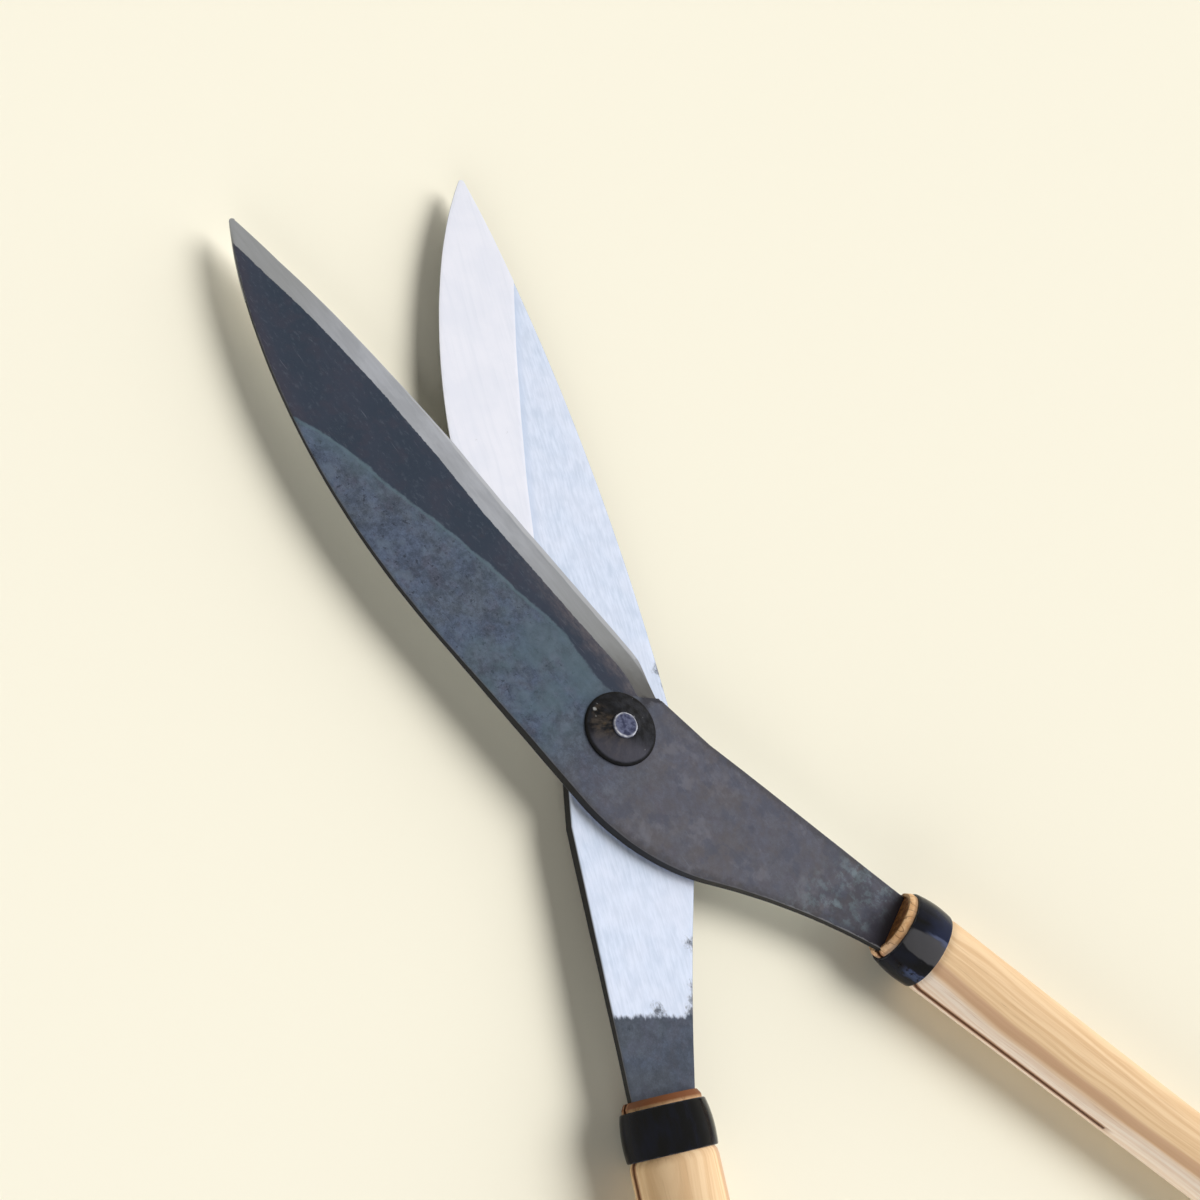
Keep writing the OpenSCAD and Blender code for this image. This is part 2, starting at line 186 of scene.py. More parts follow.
class Shading:
    """Short names for the nodes of one node tree."""

    def __init__(self, tree):
        self.tree = tree

    def put(self, socket, value):
        if isinstance(value, Value):
            self.tree.links.new(value.socket, socket)
        elif value is not None:
            socket.default_value = value

    def node(self, kind, values=None, **settings):
        """A new node; values holds what goes into its inputs, by name or number."""
        n = self.tree.nodes.new(kind)
        for key, value in settings.items():
            setattr(n, key, value)
        for key, value in (values or {}).items():
            self.put(n.inputs[key], value)
        return n

    def outputs(self, n):
        return {o.name: Value(self, o) for o in n.outputs}

    def get(self, kind, out, values=None, **settings):
        """One output, by name or number, of a new node."""
        return Value(self, self.node(kind, values, **settings).outputs[out])

    def attribute(self, name, out="Fac"):
        return self.get("ShaderNodeAttribute", out, attribute_name=name)

    def place(self):
        return self.attribute("place", "Vector")

    def split(self, vector):
        return list(self.outputs(self.node("ShaderNodeSeparateXYZ", {0: vector})).values())

    def join(self, x, y=None, z=None):
        return self.get("ShaderNodeCombineXYZ", 0, {0: x, 1: y, 2: z})

    def math(self, kind, *numbers):
        return self.get("ShaderNodeMath", 0, dict(enumerate(numbers)), operation=kind)

    def mul_add(self, a, b, c):
        """a * b + c"""
        return self.math("MULTIPLY_ADD", a, b, c)

    def stretch(self, vector, scale, shift=(0, 0, 0), turn=(0, 0, 0)):
        return self.get("ShaderNodeMapping", 0,
                        {"Vector": vector, "Scale": scale, "Location": shift, "Rotation": turn})

    def shift(self, vector, *by):
        return self.stretch(vector, (1, 1, 1), by)

    def noise(self, vector, scale, detail=2.0, rough=0.5, warp=0.0):
        return self.get("ShaderNodeTexNoise", "Fac", {"Vector": vector, "Scale": scale, "Detail": detail,
                                                      "Roughness": rough, "Distortion": warp})

    def span(self, value, low, high, to_low=0.0, to_high=1.0, smooth=True):
        """Maps low..high to to_low..to_high, held at both ends."""
        return self.get("ShaderNodeMapRange", "Result",
                        {"Value": value, "From Min": low, "From Max": high,
                         "To Min": to_low, "To Max": to_high},
                        interpolation_type="SMOOTHSTEP" if smooth else "LINEAR")

    def fall(self, value, low, high):
        """1 below low, 0 above high."""
        return 1 - self.span(value, low, high)

    def blots(self, vector, scale, detail, rough, low, high):
        """Soft-edged blots of noise."""
        return self.span(self.noise(vector, scale, detail, rough), low, high)

    def mix(self, share, a, b):
        """A colour between a and b."""
        return self.get("ShaderNodeMix", 2, {"Factor": share, 6: a, 7: b}, data_type="RGBA")

    def coats(self, color, *coats):
        """A colour under coats, each (mask, factors of the mask if any, colour or its display values)."""
        for mask, *factors, coat in coats:
            for factor in factors:
                mask = mask * factor
            color = self.mix(mask, color, rgb(*coat) if isinstance(coat, tuple) else coat)
        return color

    def blend(self, share, a, b):
        """A number between a and b."""
        return self.get("ShaderNodeMix", 0, {0: share, 2: a, 3: b}, data_type="FLOAT")

    def scaled(self, vector, factor):
        return self.get("ShaderNodeVectorMath", 0, {0: vector, "Scale": factor}, operation="SCALE")

    def bump(self, height, distance, strength):
        return self.get("ShaderNodeBump", 0, {"Height": height, "Distance": distance, "Strength": strength})

    def surface(self, **values):
        """Sets inputs of the material's own shader; _ in a name stands for a space."""
        shader = self.tree.nodes["Principled BSDF"]
        for label, value in values.items():
            self.put(shader.inputs[label.replace("_", " ")], value)


def new_group(name, takes, gives):
    """An empty shader group; takes and gives are {socket name: default}, None for a vector."""
    tree = bpy.data.node_groups.new(name, "ShaderNodeTree")
    for way, sockets in (("INPUT", takes), ("OUTPUT", gives)):
        for label, default in sockets.items():
            kind = "Vector" if default is None else "Float" if isinstance(default, float) else "Color"
            socket = tree.interface.new_socket(label, in_out=way, socket_type="NodeSocket" + kind)
            if default is not None:
                socket.default_value = default
    s = Shading(tree)
    return s, s.outputs(s.node("NodeGroupInput")), s.node("NodeGroupOutput").inputs


def use_group(s, name, **values):
    """The outputs of a group; _ in a name stands for a space."""
    values = {label.replace("_", " "): value for label, value in values.items()}
    return s.outputs(s.node("ShaderNodeGroup", values, node_tree=bpy.data.node_groups[name]))


def make_brush_lines():
    """Fine scraping or grinding lines along the place's X."""
    s, takes, gives = new_group("brush lines", {"Place": None, "Length": 0.03, "Fine": 1.6}, {"Line": 0.0})
    x, y, z = s.split(takes["Place"])
    across = s.mul_add(s.noise(takes["Place"], 0.02, 1.0), 3.5, y)
    coarse = s.join(x * takes["Length"], across * takes["Fine"], z * 0.3)
    lines = s.noise(coarse, 1.0, 4.0, 0.65)
    broad = s.noise(s.stretch(coarse, (1.4, 0.22, 1.0)), 1.0, 2.0)
    s.put(gives["Line"], lines * 0.65 + broad * 0.35)


def make_forge_scale():
    """Mottled oxide left by the fire: three tints, dark specks and a height."""
    s, takes, gives = new_group(
        "forge scale",
        {"Place": None, "Cool": rgb(75, 85, 103), "Grey": rgb(78, 86, 98), "Warm": rgb(77, 82, 97),
         "Cloud": 0.05, "Specks": 0.5},
        {"Color": rgb(0, 0, 0), "Height": 0.0})
    place = takes["Place"]
    cloud = s.noise(place, takes["Cloud"], 5.0, 0.62, 0.4)
    patch = s.noise(s.shift(place, 31, 7, 3), takes["Cloud"] * 2.6, 4.0, 0.6)
    fine = s.noise(place, 0.55, 4.0, 0.62)
    tint = s.mix(s.span(cloud, 0.40, 0.60), takes["Cool"], takes["Grey"])
    tint = s.mix(s.span(patch, 0.50, 0.66), tint, takes["Warm"])
    blot = s.noise(s.shift(place, 2, 60, 9), 0.20, 4.0, 0.62)
    grain = s.noise(s.shift(place, 4, 4, 30), 1.9, 2.0, 0.6)
    tone = s.span(fine, 0.3, 0.7, 0.84, 1.16) * s.span(blot, 0.36, 0.64, 0.76, 1.18)
    tone = tone * s.span(grain, 0.3, 0.7, 0.84, 1.17, smooth=False)
    speck = s.span(s.noise(s.shift(place, 5, 17, 1), 0.42, 4.0, 0.66), 0.60, 0.66) * takes["Specks"]
    s.put(gives["Color"], s.mix(speck, s.scaled(tint, tone), rgb(44, 48, 60)))
    s.put(gives["Height"], s.mul_add(fine, 0.35, blot * 0.8) - speck * 0.4)


def make_rim_wear():
    """Where handling has rubbed an edge: 1 at the rim, ragged, 0 inside."""
    s, takes, gives = new_group("rim wear", {"Rim": 5.0, "Width": 0.8, "Place": None}, {"Mask": 0.0})
    ragged = s.span(s.noise(takes["Place"], 0.25, 3.0, 0.7), 0.3, 0.7, 0.25, 1.0)
    s.put(gives["Mask"], s.fall(takes["Rim"] / (takes["Width"] * ragged), 0.5, 1.2))


def make_ground_bevel():
    """The ground bevel: soft grey clouds, with a paler honed line at the edge from the middle to the heel."""
    s, takes, gives = new_group("ground bevel", {"Place": None, "Edge In": 5.0},
                                {"Color": rgb(0, 0, 0), "Rough": 0.0})
    x = s.split(takes["Place"])[0]
    line = use_group(s, "brush lines", Place=takes["Place"], Length=0.05, Fine=0.8)["Line"]
    cloud = s.noise(s.stretch(takes["Place"], (0.5, 1.0, 1.0)), 0.10, 4.0, 0.6)
    body = s.mix(s.span(cloud, 0.38, 0.62), rgb(150, 153, 160), rgb(161, 164, 172))
    body = s.mix(s.fall(x, 20, 110), body, rgb(131, 133, 135))
    body = s.mix(s.span(x, 185, 225), body, rgb(142, 144, 147))
    strip_w = s.span(x, 60, 205, 2.4, 0.2)
    wavy = s.mul_add(s.noise(takes["Place"], 0.12, 2.0), 0.8, takes["Edge In"] - 0.4)
    strip = s.fall(wavy - strip_w, -0.3, 0.3)
    body = s.mix(strip * 0.6, body, rgb(186, 188, 194))
    s.put(gives["Color"], s.scaled(body, s.span(line, 0.3, 0.7, 0.93, 1.06)))
    s.put(gives["Rough"], s.span(line, 0.3, 0.7, 0.38, 0.52))


make_brush_lines()
make_forge_scale()
make_rim_wear()
make_ground_bevel()


# Materials. Places and attributes are in millimetres.

IRON_SHEEN = 0.3


def new_material(name, paint):
    """A material whose nodes the function paint makes."""
    material = bpy.data.materials.new(name)
    material.use_nodes = True
    paint(Shading(material.node_tree))
    return material


def laminated_iron(s):
    """Both halves: scraped bright inside, forge scale, an oiled dark band and the bevel outside."""
    place = s.place()
    x, y, _ = s.split(place)
    band, inner, wall, rim, ridge, edge_in, step, nick, weld = [
        s.attribute(name) for name in
        ("band", "inner", "wall", "rim", "ridge", "edge_in", "step", "nick", "weld")]

    # Forge scale of the outer face: blue on the blade, teal by the pivot, purple and brown on the neck.
    lean = s.mul_add(s.math("MINIMUM", y, 0.0), 0.8, x)
    neck = s.fall(lean, -36, 20)
    scale = use_group(s, "forge scale", Place=place, Cloud=0.045, Specks=s.span(x, -20, 40, 0.12, 0.75))
    by_pivot = s.span(lean, -2, 24) * s.fall(x, 30, 95)
    by_band = s.fall(band, 1, 9) * s.span(x, 15, 40, 0.0, 0.7)
    teal = s.blots(s.shift(place, 9, 4, 2), 0.06, 4.0, 0.6, 0.36, 0.60)
    brown = s.blots(s.shift(place, 2, 40, 0), 0.07, 4.0, 0.65, 0.46, 0.64)
    light = s.blots(s.shift(place, 50, 12, 0), 0.10, 4.0, 0.6, 0.54, 0.68)
    by_wood = s.fall(x, -104, -84) * s.span(x, -126, -116)
    pale = s.blots(place, 0.20, 5.0, 0.72, 0.46, 0.62)
    dark = s.blots(s.shift(place, 8, 8, 8), 0.11, 3.0, 0.5, 0.45, 0.6)
    soil = s.fall(s.mul_add(s.noise(s.shift(place, 3, 22, 6), 0.30, 5.0, 0.7), 9.0, rim), 4.8, 8.6)
    blue = s.blots(s.shift(place, 9, 31, 4), 0.11, 5.0, 0.65, 0.52, 0.62)
    # Painted shade: the neck darkened where it runs into the wood.
    painted_shade_by_wood = s.fall(s.mul_add(s.noise(place, 0.15, 3.0), 9.0, x), -119, -108)
    tint = s.coats(
        scale["Color"],
        (s.math("MAXIMUM", by_pivot, by_band), teal, 0.62, (84, 103, 113)),
        (neck, 0.62, (96, 92, 98)),
        (neck, brown, 0.45, (92, 87, 87)),
        (light, 0.35, s.mix(neck, rgb(100, 113, 126), rgb(119, 118, 125))),
        (by_wood, pale, 0.75, (118, 132, 138)),
        (by_wood, dark, 0.5, (52, 52, 60)),
        (neck, soil, 0.6, (62, 60, 62)),
        (neck, blue, 0.45, (72, 76, 90)),
        (painted_shade_by_wood, 0.85, (40, 37, 48)))

    # The oiled band beside the bevel.
    by_back = s.fall(s.mul_add(s.noise(place, 0.2, 3.0), 6.0, rim), 3.0, 9.0)
    plum = s.blots(s.shift(place, 14, 3, 0), 0.14, 4.0, 0.6, 0.48, 0.66)
    mist = s.blots(s.stretch(place, (0.7, 1.3, 1.0)), 0.45, 5.0, 0.75, 0.52, 0.70)
    by_bevel = s.span(s.mul_add(s.noise(place, 0.2, 3.0), 5.0, ridge), -5.0, 2.0)
    rubbed = s.blots(s.stretch(place, (0.35, 1.0, 1.0)), 0.8, 4.0, 0.7, 0.36, 0.66)
    oil = s.coats(
        s.mix(s.blots(place, 0.05, 3.0, 0.5, 0.35, 0.65), rgb(41, 51, 66), rgb(47, 54, 69)),
        (by_back, s.span(x, 120, 170), 0.5, (62, 57, 68)),
        (plum, 0.4, (55, 54, 67)),
        (mist, 0.40, (80, 88, 100)),
        (s.fall(x, 35, 95), by_bevel, s.mul_add(rubbed, 0.6, 0.25), (93, 88, 92)))
    border = s.mul_add(s.noise(place, 0.16, 4.0, 0.65), 2.8, band - 0.7)
    on_scale = s.span(border, -0.5, 0.7)
    seam = s.fall(s.math("ABSOLUTE", border - 0.7), 0.1, 1.1)
    scratch = s.blots(s.stretch(place, (0.10, 1.2, 1), turn=(0, 0, 0.9)), 1.0, 2.0, 0.5, 0.68, 0.78)

    # The dark line and dark patch where the bevel's step meets the neck.
    off_step = s.mul_add(s.noise(place, 0.5, 3.0), 1.6, s.math("ABSOLUTE", step + 0.7))
    line = s.fall(off_step, 1.3, 2.3) * s.fall(edge_in, 9, 15)
    patch = s.fall(s.mul_add(s.noise(place, 0.35, 4.0, 0.7), 5.0, nick), 1.2, 4.2)
    dark_by_step = s.math("MAXIMUM", line, patch)

    # The ground bevel over both, the rim lightened by rubbing with a painted highlight towards the wood, and
    # the walls painted dark as shade.
    bevel = use_group(s, "ground bevel", Place=place, Edge_In=edge_in)
    on_bevel = s.span(s.mul_add(s.noise(place, 0.6, 4.0, 0.75), 1.3, ridge - 0.65), -0.12, 0.2)
    to_heel = s.mul_add(edge_in, -0.8, s.mul_add(s.noise(place, 0.3, 3.0), 8.0, x))
    wear = use_group(s, "rim wear", Rim=rim, Width=0.65, Place=place)["Mask"]
    outer = s.coats(
        s.mix(on_scale, oil, tint),
        (seam, s.span(x, 25, 60) * s.fall(x, 160, 175), 0.5, (88, 108, 116)),
        (scratch, 0.28, (112, 118, 130)),
        (on_bevel, s.coats(bevel["Color"], (s.fall(to_heel, 2, 32), 0.9, (78, 77, 77)))),
        (dark_by_step, 0.75, (42, 41, 46)),
        # The rim lightened: rubbed wear, stronger towards the wood as a painted highlight on the neck's edge.
        (wear, 1 - on_bevel, s.span(x, -105, -70, 0.65, 0.2), (132, 133, 138)),
        # Painted shade: the side walls darkened to near-black.
        (wall, 0.95, (26, 26, 28)))

    # The scraped inner face.
    line = use_group(s, "brush lines", Place=place, Length=0.11, Fine=0.9)["Line"]
    frayed = s.mul_add(s.noise(s.stretch(place, (0.2, 0.5, 1)), 1.0, 3.0, 0.6), 5.0, x)
    unscraped = s.fall(s.mul_add(y, 0.219, frayed), -107.2, -105.2)
    smear = s.noise(s.stretch(place, (0.7, 1.1, 1.0)), 0.55, 5.0, 0.75)
    bright = s.coats(
        s.mix(s.span(line, 0.34, 0.66), rgb(198, 211, 234), rgb(219, 229, 250)),
        (s.blots(place, 0.035, 3.0, 0.6, 0.35, 0.7), 0.3, (232, 234, 250)),
        (s.fall(weld, 0.0, 4.0), 0.5, (190, 205, 232)),
        (s.fall(s.mul_add(smear, 10.0, nick), 1.6, 5.2), 0.85, (58, 60, 68)),
        (unscraped, 0.95, s.scaled(scale["Color"], 0.62)))

    shiny = inner * (1 - unscraped * 0.8)
    rough_outer = s.blend(on_bevel, s.blend(on_scale, 0.46, 0.62), bevel["Rough"])
    hammered = s.noise(place, 0.10, 2.0) * 1.6
    height = s.blend(inner, (1 - on_bevel) * scale["Height"] + hammered, line * 0.35)
    s.surface(Base_Color=s.mix(inner, outer, bright), Specular_IOR_Level=IRON_SHEEN,
              Roughness=s.blend(shiny, rough_outer, s.span(line, 0.3, 0.7, 0.36, 0.50)),
              Metallic=s.blend(shiny, s.blend(on_bevel, 0.25, 0.45), 0.45),
              Normal=s.bump(height, 0.00022, 0.6))


def edge_steel(s):
    """The welded strips: smooth and pale inside, the ground bevel outside."""
    place, inner, edge_in = s.place(), s.attribute("inner"), s.attribute("edge_in")
    bevel = use_group(s, "ground bevel", Place=place, Edge_In=edge_in)
    line = use_group(s, "brush lines", Place=place, Length=0.02, Fine=0.5)["Line"]
    pale = s.coats(
        s.mix(s.blots(place, 0.05, 3.0, 0.6, 0.35, 0.65), rgb(229, 232, 246), rgb(234, 236, 249)),
        (s.span(line, 0.45, 0.7), 0.4, (216, 221, 236)),
        (s.blots(s.shift(place, 3, 3, 3), 0.20, 3.0, 0.7, 0.72, 0.78), 0.4, (184, 186, 194)),
        (s.fall(edge_in, 0.1, 0.8), 0.3, (210, 212, 220)))
    s.surface(Base_Color=s.mix(inner, bevel["Color"], pale), Specular_IOR_Level=IRON_SHEEN, Metallic=0.45,
              Roughness=s.blend(inner, bevel["Rough"], s.span(line, 0.3, 0.7, 0.30, 0.42)),
              Normal=s.bump(line, 0.00012, 0.5))


def blued_ferrule(s):
    """Glossy blue-black oxide over a rolled and hammered band, with painted reflections in bands round its
    axis.
    """
    place = s.place()
    x, y, z = s.split(place)
    around = s.math("ARCTAN2", y * -1.0, z)
    around = s.mul_add(s.noise(s.stretch(place, (0.5, 1.0, 1.0)), 0.11, 3.0) - 0.5, 0.7, around)
    film = s.noise(s.stretch(place, (0.25, 0.6, 0.6)), 0.20, 3.0, 0.5)
    # Painted reflections, set by the angle round the axis: a blue band above, a grey band across the middle
    # and a pale blue glint low down.
    blue = s.span(around, -0.9, -0.5) * s.fall(around, 0.2, 0.35)
    grey = s.span(around, 0.24, 0.34) * s.fall(around, 0.72, 0.78)
    low = s.span(around, 1.12, 1.22) * s.fall(around, 1.34, 1.46)
    wear = use_group(s, "rim wear", Rim=s.attribute("rim"), Width=0.5, Place=place)["Mask"]
    tint = s.coats(
        s.mix(s.span(film, 0.38, 0.60), rgb(6, 7, 11), rgb(13, 17, 32)),
        (blue, s.span(s.mul_add(film, 14.0, x), 147, 156), 0.85, (27, 34, 58)),
        (grey, 0.9, (76, 75, 77)),
        # Painted highlight: a bright blue-grey line along the grey band's upper edge.
        (s.fall(s.math("ABSOLUTE", around - 0.24), 0.02, 0.09), s.span(x, 141, 147), 0.6, (92, 100, 126)),
        (low, s.span(x, 142, 147) * s.blots(place, 0.35, 3.0, 0.7, 0.40, 0.56), 0.75, (70, 84, 118)),
        (wear, 0.3, (96, 98, 106)))
    dents = s.noise(place, 0.16, 1.0) + s.noise(place, 1.4, 2.0) * 0.06
    s.surface(Base_Color=tint, Specular_IOR_Level=0.13, Normal=s.bump(dents, 0.0006, 0.4),
              Roughness=s.span(s.noise(place, 0.5, 4.0, 0.7), 0.3, 0.75, 0.10, 0.24))


def handle_wood(s):
    """Straight-grained wood, yellow on one side, pale on the other, with a brown streak between."""
    place = s.place()
    x, y, z = s.split(place)
    sway = s.noise(s.stretch(place, (0.010, 0.03, 0.03)), 1.0, 2.0)
    across = s.mul_add(sway - 0.5, 9.0, s.attribute("layer"))
    rings = s.noise(s.join(x * 0.008, across * 0.55), 1.3, 4.0, 0.55)
    late = s.span(rings, 0.36, 0.62)
    yellow = s.mix(late, rgb(222, 184, 138), rgb(238, 205, 160))
    pinkish = s.mix(late, rgb(236, 213, 190), rgb(247, 231, 213))
    fibre = s.noise(s.stretch(place, (0.035, 1.3, 1.3)), 1.0, 4.0, 0.65)
    pores = s.blots(s.stretch(place, (0.10, 2.6, 2.6)), 1.0, 3.0, 0.7, 0.62, 0.74)

    # The end by the neck: brown in the dished face, pale on its rim with painted shade next to the ferrule,
    # and cracks across both.
    spokes = s.join(s.math("ARCTAN2", z, y) * 3.0, x * 0.12)
    crack = s.fall(s.math("ABSOLUTE", s.noise(spokes, 1.0, 0.0) - 0.5), 0.006, 0.024)
    end, nose = s.attribute("end"), s.attribute("nose")
    grain = s.blots(place, 0.5, 3.0, 0.7, 0.35, 0.65)
    # Darker brown beside the saw cut and inside it.
    beside = s.mul_add(s.noise(s.stretch(place, (0.1, 1, 1)), 0.8, 3.0), 0.8, s.math("ABSOLUTE", z))
    brown_by_kerf = s.fall(beside, KERF / 2 + 0.8, KERF / 2 + 1.7)
    tint = s.coats(
        s.mix(s.span(across, 1.5, 5.0), yellow, pinkish),
        (s.span(across, -3.0, -1.0), s.fall(across, 1.6, 3.4), 0.8, (196, 156, 124)),
        (s.span(fibre, 0.54, 0.70), 0.35, (196, 156, 116)),
        (pores, 0.25, (168, 128, 94)),
        (nose, 0.75, s.mix(grain, rgb(214, 160, 104), rgb(236, 192, 140))),
        # Painted shade: darker brown on the rim where the wood goes under the ferrule.
        (nose, s.span(x, 134.4, 135.9), (112, 66, 36)),
        (end, s.mix(grain, rgb(112, 66, 28), rgb(172, 118, 66))),
        (crack, s.math("MAXIMUM", nose, end) * 0.6, (110, 68, 40)),
        (brown_by_kerf, 1 - s.attribute("past_cut"), 0.85, (160, 112, 80)),
        (s.attribute("slot"), (118, 80, 52)))
    s.surface(Base_Color=tint, Specular_IOR_Level=0.4, Roughness=s.span(rings, 0.3, 0.7, 0.66, 0.54),
              Normal=s.bump(fibre * 0.5 + pores * -0.5, 0.00022, 0.55))


def black_washer(s):
    """Black sheet iron with rust and a few pale specks, a painted grey highlight low on its cone and painted
    shade along its rim.
    """
    place, rim = s.place(), s.attribute("rim")
    x, y, _ = s.split(place)
    spokes = s.join(s.math("ARCTAN2", y, x) * 3.4, rim * 0.16)
    side = s.span(s.mul_add(x, -0.10, y), 0.0, 7.0) * s.span(rim, 1.2, 3.2)
    # Painted highlight: a grey patch on the lower side of the cone.
    painted_sheen = s.span(s.mul_add(x, -0.80, y * 0.52), 2.0, 9.0) * s.span(rim, 0.8, 1.8)
    speck = s.blots(s.shift(place, 1, 9, 2), 0.55, 1.0, 0.5, 0.77, 0.80)
    tint = s.coats(
        s.mix(s.blots(place, 0.22, 4.0, 0.6, 0.36, 0.64), rgb(12, 13, 17), rgb(34, 35, 40)),
        (s.blots(spokes, 1.0, 3.0, 0.6, 0.40, 0.64), side, 0.75, (84, 76, 68)),
        (s.blots(s.shift(place, 7, 1, 4), 0.30, 4.0, 0.7, 0.52, 0.66), side, 0.5, (84, 70, 52)),
        (painted_sheen, 0.8, (72, 71, 78)),
        (s.math("MAXIMUM", speck * 0.3, s.fall(s.attribute("spot"), 0.5, 1.0)), 0.8, (176, 176, 170)),
        # Painted shade: the rim darkened all round, for the shadow along its edge where it meets the plate.
        (s.fall(rim, 0.5, 1.1), 0.9, (14, 14, 16)))
    height = s.noise(place, 0.25, 2.0) * 2.0 + s.noise(place, 1.2, 3.0, 0.7) * 0.6
    s.surface(Base_Color=tint, Specular_IOR_Level=0.12, Normal=s.bump(height, 0.0003, 0.6),
              Roughness=s.span(s.noise(place, 0.6, 3.0), 0.3, 0.7, 0.36, 0.6))


def pin_steel(s):
    """The pin: hammered face with a bright burred ring."""
    place = s.place()
    cloud = s.noise(place, 0.45, 4.0, 0.65)
    tint = s.coats(
        s.mix(s.span(cloud, 0.38, 0.62), rgb(50, 54, 80), rgb(92, 97, 124)),
        (s.attribute("burr"), s.span(s.noise(place, 0.5, 2.0), 0.35, 0.6, 0.45, 1.0), (226, 228, 238)),
        (s.fall(s.split(place)[2], -8.0, 0.0), 0.8, (70, 73, 84)))
    s.surface(Base_Color=tint, Specular_IOR_Level=IRON_SHEEN, Metallic=0.45,
              Roughness=s.span(cloud, 0.3, 0.7, 0.34, 0.5),
              Normal=s.bump(s.noise(place, 0.6, 2.0), 0.0005, 0.5))


IRON = new_material("laminated iron", laminated_iron)
STEEL = new_material("edge steel", edge_steel)
FERRULE = new_material("blued ferrule", blued_ferrule)
WOOD = new_material("handle wood", handle_wood)
WASHER = new_material("black washer", black_washer)
PIN = new_material("pin steel", pin_steel)


# Plan outlines

def turned(point, degrees):
    """A point turned about the pivot."""
    a = math.radians(degrees)
    return np.array([point[0] * math.cos(a) - point[1] * math.sin(a),
                     point[0] * math.sin(a) + point[1] * math.cos(a)])


def at_neck(half, along, across):
    """A point given along and across a half's neck, in the plan of its blade."""
    return turned((along, half.offset + across), 180 + half.bend)


def circles_cross(p, p_r, q, q_r, side):
    """One of the two points where two circles cross."""
    p, q = np.array(p, float), np.array(q, float)
    gap = float(np.linalg.norm(q - p))
    e = (q - p) / gap
    along = (p_r * p_r - q_r * q_r + gap * gap) / (2 * gap)
    across = math.sqrt(max(0.0, p_r * p_r - along * along))
    return p + along * e + side * across * np.array([-e[1], e[0]])


def angle_of(v):
    return math.atan2(v[1], v[0])


OUTLINE_STEP = 1.3


def arc_points(centre, radius, start, end, step=OUTLINE_STEP):
    count = max(2, int(abs(end - start) * radius / step))
    return [np.array(centre) + radius * np.array([math.cos(a), math.sin(a)])
            for a in np.linspace(start, end, count + 1)]


def line_points(a, b, step=OUTLINE_STEP):
    a, b = np.array(a, float), np.array(b, float)
    count = max(1, int(np.linalg.norm(b - a) / step))
    return [a + (b - a) * i / count for i in range(count + 1)]


def joined(runs):
    """One closed loop from several runs of points, each next run starting where the last ends."""
    loop = []
    for run in runs:
        for p in run:
            if not loop or np.linalg.norm(p - loop[-1]) > 1e-4:
                loop.append(np.array(p, float))
    if np.linalg.norm(loop[0] - loop[-1]) < 1e-4:
        loop.pop()
    return np.array(loop)


def key_points(half):
    """The centres and radii of one half's back, edge and shoulder, and where its arcs and lines meet."""
    (bc, br), (ec, er), (sc, sr) = half.back, half.edge, half.shoulder
    bc, ec, sc = np.array(bc), np.array(ec), np.array(sc)
    way = bc - sc
    turn = math.acos(max(-1.0, (sr - br) / np.linalg.norm(way)))
    a = angle_of(way) + turn
    up = np.array([math.cos(a), math.sin(a)])
    inner_end = at_neck(half, TANG_START, -NECK_W / 2)
    hollow = circles_cross(sc, sr + half.hollow_r, inner_end, half.hollow_r, -1)
    side = (hollow - sc) / np.linalg.norm(hollow - sc)
    tip = circles_cross(bc, br - TIP_R, ec, er - TIP_R, -1)
    heel_y = ec[1] - math.sqrt(er * er - (HEEL_X - ec[0]) ** 2)
    return SimpleNamespace(
        bc=bc, br=br, ec=ec, er=er, sc=sc, sr=sr, up=up, inner_end=inner_end, hollow=hollow, side=side,
        tip=tip, heel=np.array([HEEL_X, heel_y]), notch=np.array([NOTCH_X, -half.notch]))


def half_outline(half):
    """The plan of one half, from the heel round the tip and the neck, counter-clockwise."""
    k = key_points(half)
    e_heel, e_tip = angle_of(k.heel - k.ec), angle_of(k.tip - k.ec)
    b_tip, up = angle_of(k.tip - k.bc), angle_of(k.up)
    side = angle_of(k.side)
    h_from = angle_of(-k.side)
    h_to = angle_of(k.inner_end - k.hollow)
    if h_to - h_from > math.pi:
        h_to -= 2 * math.pi
    if h_from - h_to > math.pi:
        h_to += 2 * math.pi
    if side < up:
        side += 2 * math.pi
    neck_out = at_neck(half, TANG_START, NECK_W / 2)
    neck_in = at_neck(half, 34, NECK_W / 2)
    edge = np.array(arc_points(k.ec, k.er, e_heel, e_tip))
    out = (edge - k.ec) / k.er
    edge += out * honed(half, edge[:, 0])[:, None]
    loop = joined([
        edge,
        arc_points(k.tip, TIP_R, e_tip, b_tip, 0.35),
        arc_points(k.bc, k.br, b_tip, up),
        line_points(k.bc + k.br * k.up, k.sc + k.sr * k.up),
        arc_points(k.sc, k.sr, up, side),
        arc_points(k.hollow, half.hollow_r, h_from, h_to),
        line_points(k.inner_end, neck_out),
        line_points(neck_out, neck_in),
        line_points(neck_in, k.notch),
        line_points(k.notch, edge[0])])

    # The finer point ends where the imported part's does.
    way = k.tip / np.linalg.norm(k.tip)
    packed = circles_cross(k.bc, k.br - PACKED_TIP_R, k.ec, k.er - PACKED_TIP_R, -1)
    along = loop @ way
    over = along.max() - (packed @ way + PACKED_TIP_R - 0.05)
    share = np.clip((along - (along.max() - TIP_SHIFT_L)) / TIP_SHIFT_L, 0, 1)
    return loop - (over * share ** 2)[:, None] * way


# Heights over the inner face, along the blade's X

